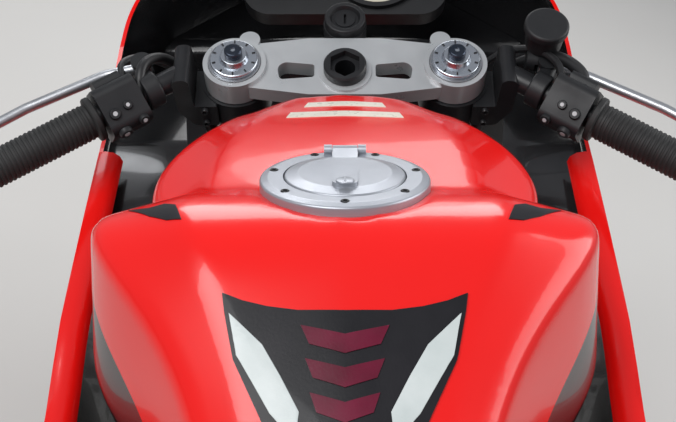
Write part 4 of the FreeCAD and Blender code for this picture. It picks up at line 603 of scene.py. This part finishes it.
def tank_pad():
    """Generic pad: a dark shield with a slanted pale bar each side and a column of wine-red chevron ribs."""
    shield = [(79, 33), (77, 22), (70, -5), (52, -38), (40, -64), (32, -90), (18, -106), (0, -112)]
    shield += [(-y, x) for y, x in reversed(shield[:-1])]
    shield += [(-66, 28), (-50, 24), (-30, 21), (0, 20), (30, 21), (50, 24), (66, 28)]
    inlay("tank_pad_base", [shield], 1.6, PAD_BLACK)
    bar = [(74, 21), (68, -3), (46, -36), (30, -52), (28, -36), (40, -16), (52, 2)]
    inlay("tank_pad_bars", both_ways(bar), 2.4, PAD_SILVER)
    ribs = []
    for k in range(6):
        high, low = 12 - 19 * k, 1 - 19 * k
        wide = 28 - 3.2 * k
        narrow = wide * 0.8
        ribs.append([(wide, high), (0, high - 6), (-wide, high), (-narrow, low), (0, low - 6), (narrow, low)])
    inlay("tank_pad_spine", ribs, 2.6, PAD_WINE)


def tank_stripes():
    """Two plain pale stripes across the tank's front."""
    far = [(-36, 330), (-33, 344), (33, 344), (36, 330)]
    near = [(-50, 298), (-47, 313), (47, 313), (50, 298)]
    inlay("tank_stripes", [far, near], 0.7, STRIPE, bevel=0.2)


def shoulder_flashes():
    """A plain dark wedge on each shoulder of the tank, just ahead of its crest."""
    wedge = [(155, 129), (138, 121), (127, 121), (118, 113), (111, 91), (122, 95), (136, 107)]
    inlay("shoulder_flashes", both_ways(wedge), 0.7, PAD_BLACK, step=3.0, bevel=0.2)


def cap_screws():
    """Seven dark socket screws in the filler's ring, a keyhole and its cover's pin."""
    screws = Shape()
    for angle in turns(7, 3.5):
        spot = cap_spot(53.5 * math.cos(angle), 53.5 * math.sin(angle), 3.2)
        screws.bolt(spot, CAP_AXIS, 3.2, 3.4)
    screws.build("cap_screws", "black_metal", "chassis", bevel=0.2)
    key = Shape()
    key.lathe([(6.5, 0), (6.5, 1.2), (5.2, 1.6), (0, 1.6)], cap_spot(-30, 0, 11.9), CAP_AXIS, 20)
    key.block((9, 1.4, 1.0), cap_spot(-30, 0, 13.6), Matrix.Rotation(CAP_SLOPE, 3, "Y"))
    key.build("cap_key_cover", "cap_silver", "fuel_lid", bevel=0.3)


def cap_spot(ahead, across, up):
    """Place on the filler cap, in its own tilted axes."""
    along = Vector((math.cos(CAP_SLOPE), 0, -math.sin(CAP_SLOPE)))
    return CAP_CENTRE + along * ahead + Vector((0, 1, 0)) * across + CAP_AXIS * up


# Steering


def yoke_fasteners():
    """Pinch screws, bar clamp screws, fork adjusters, and painted shade of the notches in the fork caps."""
    screws = Shape()
    for side in (-1, 1):
        y = side * (FORK_HALF_SPACING - 13)
        screws.bolt((FORK_OFFSET + 40.6, y, 938), (1, 0, 0), 4.5, 4.5)
        for back in (-1, 1):
            screws.bolt((-23.8, side * 134, 908 + 9 * back), (-1, 0, 0), 3.6, 4.0)
    screws.build("yoke_screws", "black_metal", "steering", STEERED, bevel=0.2)
    knobs = Shape()
    for side in (-1, 1):
        place = (FORK_OFFSET, side * FORK_HALF_SPACING, 964.0)
        knobs.lathe([(7.5, -5), (8.4, -4), (8.4, 3), (7.0, 4.2), (2.2, 4.2), (2.2, 2.4), (0, 2.4)], place)
    knobs.build("fork_adjusters", ADJUSTER, "steering", STEERED, bevel=0.3)
    # Black bars where the fork caps' notches are: painted shade in the notches.
    slots = Shape()
    for side in (-1, 1):
        centre = Vector((FORK_OFFSET, side * FORK_HALF_SPACING, 956.5))
        for angle in turns(10):
            away = Vector((math.cos(angle), math.sin(angle), 0))
            slots.block((3.2, 1.3, 1.0), centre + away * 19.5, Matrix.Rotation(angle, 3, "Z"))
    slots.build("fork_cap_notch_shade", "black_metal", "steering", STEERED)


def hexagon(angle):
    """Radius of the stem nut's socket, which has six flats, at an angle."""
    return 15.7 * math.cos(math.pi / 6) / math.cos(angle % (math.pi / 3) - math.pi / 6)


def stem_nut():
    """Black on the stem's hexagon-socket nut, and painted shade: black down its socket and its hollow."""
    nut = Shape()
    # The nut's face is black; the socket walls and the tube down the hollow are painted shade.
    nut.lathe([(20.3, 948.6), (20.3, 956.0), (18.8, 957.6), (17.2, 957.8),
               (hexagon, 957.6), (hexagon, 950.7), (9.8, 950.7), (9.8, 915.0)], steps=72)
    nut.build("stem_nut_and_hollow_shade", "black_metal", "steering", STEERED)


BAR_DIRECTION = Vector((-60.0, 100.0, -29.0)).normalized()
GRIP_INNER = Vector((365.0, 228.0, 842.0))


def along_bar(outward, side, ahead=0.0, up=0.0):
    """Place by a bar: distance outboard of the grip's inner end, then ahead of the bar and above it."""
    axis = Vector((BAR_DIRECTION.x, BAR_DIRECTION.y * side, BAR_DIRECTION.z))
    high = Vector((-math.sin(RAKE), 0, math.cos(RAKE)))
    front = (axis.cross(high) * side).normalized()
    start = Vector((GRIP_INNER.x, GRIP_INNER.y * side, GRIP_INNER.z))
    return start + axis * outward + front * ahead + high * up


def bar_grips():
    """Rubber grips with fine rings between two flanges."""
    grips = Shape()
    for side in (-1, 1):
        rows = [(11.6, 0), (20.5, 0), (21.4, 1.2), (21.4, 5.2), (20.4, 6.4), (16.4, 7.4)]
        spot = 10.0
        while spot < 112:
            rows += [(16.2, spot), (17.0, spot + 0.7), (17.0, spot + 2.6), (16.2, spot + 3.3)]
            spot += 4.4
        rows += [(16.6, 114), (18.4, 115.2), (18.4, 117.2), (17.4, 118), (11.6, 118)]
        start = along_bar(0, side)
        axis = along_bar(1, side) - start
        grips.lathe(rows, start, axis, 48)
    made = grips.build("grip_rubbers", "grip_rubber", "steering")
    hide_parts("grips")


def switches():
    """Buttons on the bars' switch housings, with plain pale marks."""
    tree = skin_of("bar_controls")
    buttons, marks = Shape(), Shape()
    places = ((-12, 10, 5.2, 3.4), (-26, 12, 4.4, 3.0), (-34, -4, 4.8, 3.4), (-14, -8, 6.4, 4.0))
    for side in (-1, 1):
        for outward, up, radius, tall in places:
            start = along_bar(outward, side, -70, up + 24)
            spot, normal = drop(tree, start, along_bar(outward, side, 0, up) - start)
            if spot is None:
                continue
            rows = [(radius, -0.6), (radius, tall * 0.6), (radius * 0.86, tall), (0, tall * 0.9)]
            buttons.lathe(rows, spot, normal, 20)
            top = spot + normal * (tall * 0.95)
            marks.lathe([(radius * 0.42, -0.2), (radius * 0.42, 0.35), (0, 0.35)], top, normal, 12)
    buttons.build("switch_buttons", "black_plastic", "steering", bevel=0.2)
    marks.build("switch_marks", SWITCH_MARK, "steering", slot="black_plastic")


def cables():
    """Brake hose and throttle cable on the right, clutch cable and wires on the left, to the lower yoke."""
    right = Shape()
    hose = [(352, -206, 846), (368, -218, 862), (394, -218, 874), (421, -199, 876), (442, -170, 860),
            (449, -146, 830), (436, -128, 780)]
    right.sweep(smooth_line(hose), 6.0, 14)
    right.sweep(smooth_line([(x + 10, y + 20, z + 4) for x, y, z in hose]), 3.6, 10)
    right.build("throttle_cables", CABLE, "steering")
    left = Shape()
    cable = [(398, 208, 856), (428, 212, 866), (452, 190, 860), (456, 158, 836), (440, 134, 784)]
    left.sweep(smooth_line(cable), 4.2, 12)
    wires = [(372, 190, 850), (404, 188, 876), (436, 170, 866), (446, 146, 830), (438, 132, 780)]
    left.sweep(smooth_line(wires), 5.2, 12)
    left.build("clutch_cable", CABLE, "steering")


# Instruments

DASH_CENTRE = Vector((610.0, 0.0, 892.0))
DASH_FACING = Vector((-0.62, 0.0, 0.78)).normalized()
DIAL_Y = -34.0
DIAL_START = -130.0
DIAL_SWEEP = 260.0
DIAL_STEPS = 60
RED_FROM = 50


def dash_matrix():
    """Axes of the dash: first up its face, away from the rider, then left, then out of its face."""
    left = Vector((0, 1, 0))
    up = left.cross(DASH_FACING)
    return Matrix((up, left, DASH_FACING)).transposed()


def dash_spot(along, across, out):
    return DASH_CENTRE + dash_matrix() @ Vector((along, across, out))


def dial_angle(share):
    return math.radians(DIAL_START + DIAL_SWEEP * share)


def dial_spot(angle, reach, out):
    """Place over the dial, a reach away from its middle."""
    return dash_spot(reach * math.cos(angle), DIAL_Y + reach * math.sin(angle), out)


def dial():
    """Cream rev counter with plain numbers, a red zone and a needle, and a plain display beside it."""
    turn = dash_matrix()
    face = Shape()
    face.lathe([(44.6, 1.2), (44.6, 1.8), (0, 1.8)], dash_spot(0, DIAL_Y, 0), DASH_FACING, 48)
    face.build("dial_face", DIAL_CREAM, "chassis")
    marks, red = Shape(), Shape()
    for k in range(DIAL_STEPS + 1):
        angle = dial_angle(k / DIAL_STEPS)
        long, wide = (8, 1.3) if k % 5 == 0 else (4, 0.6)
        spin = turn @ Matrix.Rotation(angle, 3, "Z")
        (red if k > RED_FROM else marks).block((long, wide, 0.5), dial_spot(angle, 42 - long / 2, 2.0), spin)
    marks.build("dial_marks", INK, "chassis")
    red.build("dial_red_zone", DIAL_RED, "chassis")
    needle = Shape()
    needle.lathe([(6.5, 1.8), (6.5, 5), (5, 6.5), (0, 6.5)], dash_spot(0, DIAL_Y, 0), DASH_FACING)
    angle = dial_angle(0)
    needle.block((38, 1.4, 0.8), dial_spot(angle, 16, 4.0), turn @ Matrix.Rotation(angle, 3, "Z"))
    needle.build("dial_needle", DIAL_RED, "chassis")
    upright = Matrix((turn @ Vector((0, -1, 0)), turn @ Vector((1, 0, 0)), DASH_FACING)).transposed().to_4x4()
    for k in range(0, 13, 2):
        text = bpy.data.curves.new(f"dial_number_{k}", "FONT")
        text.body = str(k)
        text.size = 8.5
        text.extrude = 0.15
        text.align_x, text.align_y = "CENTER", "CENTER"
        text.materials.append(INK)
        number = linked(text.name, text)
        spot = dial_spot(dial_angle(k / 12), 28, 2.0)
        number.matrix_world = PARKED @ Matrix.Translation(spot) @ upright
        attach(number, "chassis")
    glass = Shape()
    glass.plate([(-29, 38), (-29, 91), (29, 87), (29, 34)], 0.8, turn, dash_spot(0, 0, 3.1))
    glass.build("display", DISPLAY, "chassis")


# Seats


def cover(node, name, shrink, cap):
    """Stuffed cover over a seat's solid: remeshed, shrunk, and blown up as cloth by a cap at most."""
    made = remeshed(name, node, 0.005)
    apply_modifiers(made)
    normals = [v.normal.copy() for v in made.data.vertices]
    for vert, normal in zip(made.data.vertices, normals):
        vert.co -= normal * shrink * MM
    puff(made, cap)
    finer = made.modifiers.new("finer", "SUBSURF")
    finer.levels = finer.render_levels = 1
    stand_in(made, node, "seat_cover")


CLOTH_PRESSURE = 4
CLOTH_FRAMES = 20


def puff(made, cap):
    """Cloth pressure from inside, with no point moving further than the cap."""
    rest = [v.co.copy() for v in made.data.vertices]
    cloth = made.modifiers.new("cloth", "CLOTH")
    cloth.settings.use_pressure = True
    cloth.settings.uniform_pressure_force = CLOTH_PRESSURE
    cloth.settings.effector_weights.gravity = 0
    scene = bpy.context.scene
    for step in range(1, CLOTH_FRAMES + 1):
        scene.frame_set(step)
    apply_modifiers(made)
    scene.frame_set(1)
    for vert, start in zip(made.data.vertices, rest):
        move = vert.co - start
        if move.length > cap * MM:
            vert.co = start + move.normalized() * cap * MM


RIDER_SEAT_EDGE = [(-158, 54), (-200, 66), (-280, 96), (-370, 124), (-440, 128), (-468, 116)]
PILLION_SEAT_EDGE = [(-512, 80), (-560, 82), (-610, 79), (-660, 73), (-732, 56)]


def line_on(tree, places, rise):
    """Line of points a little above a surface, over places seen from above."""
    line = []
    for x, y in places:
        spot, normal = drop(tree, (x, y, ABOVE), DOWN)
        if spot is not None:
            line.append(spot + normal * rise)
    return line


def seams():
    """Piped seams along the seats' upper edges and across the rider's seat."""
    piping = Shape()
    for node, rows in (("rider_seat", RIDER_SEAT_EDGE), ("pillion_seat", PILLION_SEAT_EDGE)):
        tree = skin_of(node)
        for side in (-1, 1):
            line = line_on(tree, [(x, side * y) for x, y in rows], 0.6)
            piping.sweep(smooth_line(line, 6), 1.7, 8)
    tree = skin_of("rider_seat")
    for x, half in ((-232, 84), (-404, 128)):
        line = line_on(tree, [(x - abs(k) * 1.2, half * k / 8) for k in range(-8, 9)], 0.4)
        piping.sweep(line, 1.2, 8)
    piping.build("seat_piping", "seat_cover", "chassis")


# Wheels

BEAD_R = 216.0
CROWN_ROWS = 44
TYRE_STEPS = 480
TREAD_PITCHES = 26
CARCASS = 14.0


def treaded_tyre(name, node, axle, radius, width, bead_half, body):
    """Tyre with swept grooves cut in its crown; stands for the plain one and keeps its form."""
    side = width / 2
    shoulder_y, shoulder_r = side * 0.93, radius - side * 0.58
    crown = circle_through((-shoulder_y, shoulder_r), (0, radius), (shoulder_y, shoulder_r))
    flank = circle_through((shoulder_y, shoulder_r), (side, shoulder_r - 18), (bead_half, BEAD_R + 18))
    inner, foot = bead_half - CARCASS, BEAD_R + CARCASS
    hollow = circle_through((inner, foot), (0, radius - 13), (-inner, foot))
    tread = [crown(k / CROWN_ROWS) for k in range(CROWN_ROWS + 1)]
    wall = [flank(k / 14) for k in range(1, 15)]
    wall += [(bead_half, BEAD_R + 9), (bead_half, BEAD_R), (inner, BEAD_R), (inner, foot)]
    lining = [hollow(k / 12) for k in range(1, 12)]
    rows = tread + wall + lining + [(-y, r) for y, r in reversed(wall)]
    verts = []
    for angle in turns(TYRE_STEPS):
        for k, (y, r) in enumerate(rows):
            if k <= CROWN_ROWS:
                r -= groove_depth(angle, y / side)
            verts.append(round_axle(axle, r, angle, y))
    tyre = Shape()
    tyre.loft(verts, len(rows), closed=True)
    made = tyre.build(name, "tyre_rubber", body, angle=50)
    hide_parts(node)


def groove_depth(angle, share):
    """Depth of the tread at a place: long swept grooves each side and short ones between."""
    away = abs(share)
    if away > 0.86:
        return 0.0
    offset = 0.5 if share < 0 else 0.0
    turn = angle / (2 * math.pi) * TREAD_PITCHES
    long = (turn + offset + 0.55 * away ** 1.4 * 2) % 1.0
    short = (turn + offset + 0.5 - 0.5 * away) % 1.0
    if 0.08 < away and abs(long - 0.5) < 0.075:
        return 4.5
    if 0.45 < away < 0.78 and abs(short - 0.5) < 0.05:
        return 3.5
    return 0.0


def circle_through(a, b, c):
    """Function from 0 to 1 along the arc through three (y, r) points."""
    (ax, ay), (bx, by), (cx, cy) = a, b, c
    double = 2 * (ax * (by - cy) + bx * (cy - ay) + cx * (ay - by))
    squares = [y ** 2 + r ** 2 for y, r in (a, b, c)]
    ux = sum(s * gap for s, gap in zip(squares, (by - cy, cy - ay, ay - by))) / double
    uy = sum(s * gap for s, gap in zip(squares, (cx - bx, ax - cx, bx - ax))) / double
    radius = math.hypot(ax - ux, ay - uy)
    start = math.atan2(ay - uy, ax - ux)
    through = (math.atan2(by - uy, bx - ux) - start) % (2 * math.pi)
    end = (math.atan2(cy - uy, cx - ux) - start) % (2 * math.pi)
    if through > end:
        end -= 2 * math.pi

    def at(share):
        angle = start + end * share
        return ux + radius * math.cos(angle), uy + radius * math.sin(angle)

    return at


# Chassis details

DRIVE_SPROCKET = Vector((-45.0, 116.0, 415.0))
WHEEL_SPROCKET = Vector((-700.0, 116.0, REAR_AXLE.z))
SPROCKET_R = 108.0
DRIVE_SPROCKET_R = 40.0
CHAIN_PITCH = 15.875
LINK_R = 7.2
LINK_WAIST = 4.6
LINK_THICK = 2.0


def chain_path():
    """Points about a pitch apart: round the drive sprocket, back below, round the wheel's and ahead above."""
    drive, wheel = DRIVE_SPROCKET, WHEEL_SPROCKET
    step_up = SPROCKET_R - DRIVE_SPROCKET_R
    gap = (drive - wheel).length
    heading = math.atan2(drive.z - wheel.z, drive.x - wheel.x)
    spread = math.acos(step_up / gap)
    run = math.sqrt(gap ** 2 - step_up ** 2)
    front_arc, rear_arc = DRIVE_SPROCKET_R * 2 * spread, SPROCKET_R * (2 * math.pi - 2 * spread)

    def front(spot):
        return on_circle(drive, DRIVE_SPROCKET_R, heading + spread - spot / DRIVE_SPROCKET_R)

    def rear(spot):
        return on_circle(wheel, SPROCKET_R, heading - spread - spot / SPROCKET_R)

    whole = 2 * run + front_arc + rear_arc
    count = 2 * round(whole / CHAIN_PITCH / 2)
    points = []
    for k in range(count):
        spot = whole * k / count
        if spot < front_arc:
            points.append(front(spot))
        elif spot < front_arc + run:
            points.append(front(front_arc).lerp(rear(0), (spot - front_arc) / run))
        elif spot < front_arc + run + rear_arc:
            points.append(rear(spot - front_arc - run))
        else:
            points.append(rear(rear_arc).lerp(front(0), (spot - front_arc - run - rear_arc) / run))
    return points


def on_circle(centre, radius, angle):
    return Vector((centre.x + radius * math.cos(angle), centre.y, centre.z + radius * math.sin(angle)))


def chain_links():
    """Roller chain of waisted plates, pins and rollers; stands for the plain bands."""
    points = chain_path()
    chain = Shape()
    count = len(points)
    for k in range(count):
        start, end = points[k], points[(k + 1) % count]
        along = (end - start).normalized()
        up = Vector((-along.z, 0, along.x))
        offset = 7.0 if k % 2 else 4.8
        outline = []
        for centre, sign in ((0.0, -1), ((end - start).length, 1)):
            for step in range(-3, 4):
                angle = math.radians(30 * step) + (math.pi if sign < 0 else 0)
                outline.append((centre + LINK_R * math.cos(angle), LINK_R * math.sin(angle)))
            outline.append(((end - start).length / 2, LINK_WAIST * sign))
        turn = Matrix((along, up, along.cross(up))).transposed()
        thick = -LINK_THICK if turn.col[2].y < 0 else LINK_THICK
        for low in (-offset - LINK_THICK, offset):
            chain.plate(outline, thick, turn, start + Vector((0, low, 0)))
        chain.lathe([(0, -9.6), (2.6, -9.6), (2.6, 9.6), (0, 9.6)], start, (0, 1, 0), 10)
        chain.lathe([(5.0, -4.4), (5.0, 4.4)], start, (0, 1, 0), 12)
    made = chain.build("chain_links", "chain_steel", "chassis")
    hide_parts("drive_chain")


# The screws' (x, z) on each panel, and the sides that have them
SIDE_SCREWS = [(120, 640), (330, 700), (500, 640), (470, 420), (120, 300), (380, 300), (0, 620)]
PANEL_SCREWS = [
    ("side_fairing_left", (1,), SIDE_SCREWS),
    ("side_fairing_right", (-1,), SIDE_SCREWS),
    ("belly_pan", (1, -1), [(60, 255), (360, 255)]),
    ("nose_cowl", (1, -1), [(500, 800), (600, 720)]),
    ("windscreen", (1, -1), [(600, 906), (690, 904)]),
    ("tail_cowl", (1, -1), [(-500, 800), (-700, 830), (-260, 716)]),
]


def fairing_screws():
    """Plain fasteners along the panels' edges and the screen's foot."""
    screws = Shape()
    for node, sides, places in PANEL_SCREWS:
        tree = skin_of(node)
        for side in sides:
            for x, z in places:
                spot, normal = drop(tree, (x, side * BESIDE, z), (0, -side, 0))
                if spot is not None and spot.y * side > 20:
                    screws.bolt(spot - normal * 0.4, normal, 6.0, 2.6, socket=False)
    screws.build("fairing_screws", "black_metal", "chassis", bevel=0.15)


FAIRING_EDGE = [(-84, 650), (0, 676), (120, 704), (200, 738), (300, 762), (400, 784)]
RIM_PROFILE = [(0.3, -8), (0.3, -3), (-1.5, 0.6), (-7, 1.6), (-15, 0.2), (-21, -4), (-23.5, -10),
               (-21.5, -10), (-19, -5.5), (-14, -1.8), (-7, -0.3), (-4.3, -0.3), (-4.3, -1)]


def fairing_rims():
    """Rolled upper edges of the side fairings; the profile is (out from the panel's face, above its edge)."""
    rims = Shape()
    for side, node in ((1, "side_fairing_left"), (-1, "side_fairing_right")):
        tree = skin_of(node)
        verts = []
        for point in smooth_line([(x, 0, z) for x, z in FAIRING_EDGE], 6):
            spot, _ = drop(tree, (point.x, side * BESIDE, point.z - 7), (0, -side, 0))
            if spot is not None:
                verts += [(spot.x, spot.y + side * out, point.z + up) for out, up in RIM_PROFILE]
        rims.loft(verts, len(RIM_PROFILE))
    rims.build("fairing_rims", "red_plastic", "chassis")


def mirror_glasses():
    """Glass set in each mirror's rear face."""
    glass = Shape()
    tree = skin_of("mirrors")
    for side in (-1, 1):
        turn = Matrix.Rotation(math.radians(-8 * side), 3, "Z")
        centre = Vector((556, 286 * side, 1004))
        outline = []
        for angle in turns(32):
            wide = 66 * math.copysign(abs(math.cos(angle)) ** 0.7, math.cos(angle))
            high = 28 * math.copysign(abs(math.sin(angle)) ** 0.7, math.sin(angle))
            outline.append((wide, high))
        facing = turn @ Matrix(((0, 0, -1), (-1, 0, 0), (0, 1, 0)))
        ahead = turn.col[0]
        spot, _ = drop(tree, centre - ahead * 80, ahead)
        if spot is not None:
            glass.plate(outline, 1.2, facing, spot + ahead * 0.2)
    glass.build("mirror_glasses", MIRROR, "chassis", bevel=0.4)


def radiator_fins():
    """Fine louvres and flat tubes on the radiator's front face."""
    fins = Shape()
    low, high = Vector((366, 0, 346)), Vector((432, 0, 612))
    along = (high - low).normalized()
    out = Vector((along.z, 0, -along.x))
    turn = Matrix((along, Vector((0, 1, 0)), out)).transposed()
    length = (high - low).length
    for k in range(22):
        fins.block((3.2, 272, 1.6), low + along * (length * (k + 0.5) / 22) + out * 0.6, turn)
    for k in range(68):
        across = Vector((0, -134 + 4 * k, 0))
        fins.block((length - 6, 0.9, 1.0), low + along * length / 2 + out * 0.4 + across, turn)
    fins.build("radiator_fins", "radiator_black", "chassis")


def engine_screws():
    """Screws round the engine's covers: (x, z, radius, y, how many)."""
    screws = Shape()
    for x, z, radius, y, count in ((40, 348, 58, -150, 10), (176, 338, 38, -140, 6), (168, 342, 55, 142, 8)):
        side = -1 if y < 0 else 1
        for angle in turns(count, 0.5):
            spot = (x + radius * math.cos(angle), y + side * 2, z + radius * math.sin(angle))
            screws.bolt(spot, (0, side, 0), 4.5, 5)
    screws.build("engine_screws", "cast_aluminium", "chassis", bevel=0.2)


def round_axle(axle, reach, angle, across):
    """Place a reach away from a wheel's axle and so far to its left."""
    return axle + Vector((reach * math.sin(angle), across, reach * math.cos(angle)))


def disc_bolts():
    """Button heads and carrier bolts of the front discs, and the rear disc's and sprocket's bolts."""
    front = Shape()
    button = [(6.5, -1), (6.5, 0.8), (4.6, 1.4), (2.4, 0.2), (0, 0.2)]
    for side in (-1, 1):
        for angle in turns(8, 0.5):
            front.lathe(button, round_axle(FRONT_AXLE, 116, angle, side * 65.5), (0, side, 0), 18)
        for angle in turns(6):
            front.bolt(round_axle(FRONT_AXLE, 44, angle, side * 56), (0, side, 0), 5.5, 5)
    front.build("front_disc_bolts", "black_metal", "front_wheel", bevel=0.2)
    rear = Shape()
    for angle in turns(6):
        rear.bolt(round_axle(REAR_AXLE, 52, angle, 119), (0, 1, 0), 6, 6)
        rear.bolt(round_axle(REAR_AXLE, 40, angle, -90.5), (0, -1, 0), 4.5, 3)
    rear.build("rear_wheel_bolts", "black_metal", "rear_wheel", bevel=0.2)


def plate_bolts():
    bolts = Shape()
    for side in (-1, 1):
        bolts.bolt((-1021.5, side * 60, 668), (-1, 0, -0.13), 6, 2, socket=False)
    bolts.build("plate_screws", "cast_aluminium", "chassis", bevel=0.2)


# Floor, light and camera

FRAME_WIDTH = 676.0
FOCAL_PIXELS = 1108.0
SENSOR = 36.0
EYE = Vector((-533.0, 0.0, 1332.5))
EYE_PITCH = math.radians(33.46)


def floor():
    """Plain pale floor."""
    half = 14.0
    mesh = bpy.data.meshes.new("floor")
    corners = [(-half, -half, 0), (half, -half, 0), (half, half, 0), (-half, half, 0)]
    mesh.from_pydata(corners, [], [(0, 1, 2, 3)])
    nodes = Nodes("floor")
    drift = nodes.spread(nodes.noise(0.8), 0.0, 1.0)
    nodes.link(nodes.mix(drift, (0.5, 0.49, 0.47), (0.54, 0.53, 0.51)), nodes.shader.inputs["Base Color"])
    nodes.shader.inputs["Roughness"].default_value = 0.8
    mesh.materials.append(nodes.material)
    plane = linked("floor", mesh)


def area_light(name, place, target, size, power):
    data = bpy.data.lights.new(name, "AREA")
    data.shape = "RECTANGLE"
    data.size, data.size_y = size
    data.energy = power
    lamp = linked(name, data)
    lamp.location = place
    lamp.rotation_euler = (Vector(target) - Vector(place)).to_track_quat("-Z", "Y").to_euler()


def world():
    scene = bpy.context.scene
    scene.world = bpy.data.worlds.new("world")
    scene.world.use_nodes = True
    back = scene.world.node_tree.nodes["Background"]
    back.inputs["Color"].default_value = (0.9, 0.93, 1.0, 1.0)
    back.inputs["Strength"].default_value = 0.38


def camera():
    """Rider's eye: over the seat, looking down and ahead along the bike."""
    data = bpy.data.cameras.new("camera")
    data.sensor_width = SENSOR
    data.lens = SENSOR * FOCAL_PIXELS / FRAME_WIDTH
    data.shift_x = -7.0 / FRAME_WIDTH
    data.clip_start = 0.01
    look = linked("camera", data)
    forward = Vector((math.cos(EYE_PITCH), 0, -math.sin(EYE_PITCH)))
    up = Vector((math.sin(EYE_PITCH), 0, math.cos(EYE_PITCH)))
    turn = Matrix((forward.cross(up), up, -forward)).transposed().to_4x4()
    lean = Matrix.Rotation(-LEAN, 4, "X")
    look.matrix_world = Matrix.Translation(PARKED @ EYE) @ lean @ turn
    bpy.context.scene.camera = look


TANK = smooth_tank()
tank_pad()
tank_stripes()
shoulder_flashes()
cap_screws()
yoke_fasteners()
stem_nut()
bar_grips()
switches()
cables()
dial()
cover("rider_seat", "rider_seat_cover", 5.0, 7.0)
cover("pillion_seat", "pillion_seat_cover", 4.0, 6.0)
seams()
treaded_tyre("front_tread", "front_tyre", FRONT_AXLE, 300.0, 120.0, 44.4, "front_wheel")
treaded_tyre("rear_tread", "rear_tyre", REAR_AXLE, 312.0, 190.0, 76.2, "rear_wheel")
chain_links()
fairing_screws()
fairing_rims()
mirror_glasses()
radiator_fins()
engine_screws()
disc_bolts()
plate_bolts()
floor()
world()
area_light("key", (-1.2, 1.6, 3.2), (0.1, 0, 0.8), (2.4, 1.6), 85)
area_light("fill", (0.6, -2.6, 2.4), (0, 0, 0.7), (2.6, 1.8), 55)
area_light("front", (3.0, 0.4, 2.2), (0.3, 0, 0.7), (2.0, 1.4), 45)
camera()

bpy.context.scene.view_settings.view_transform = "Standard"
bpy.context.view_layer.update()
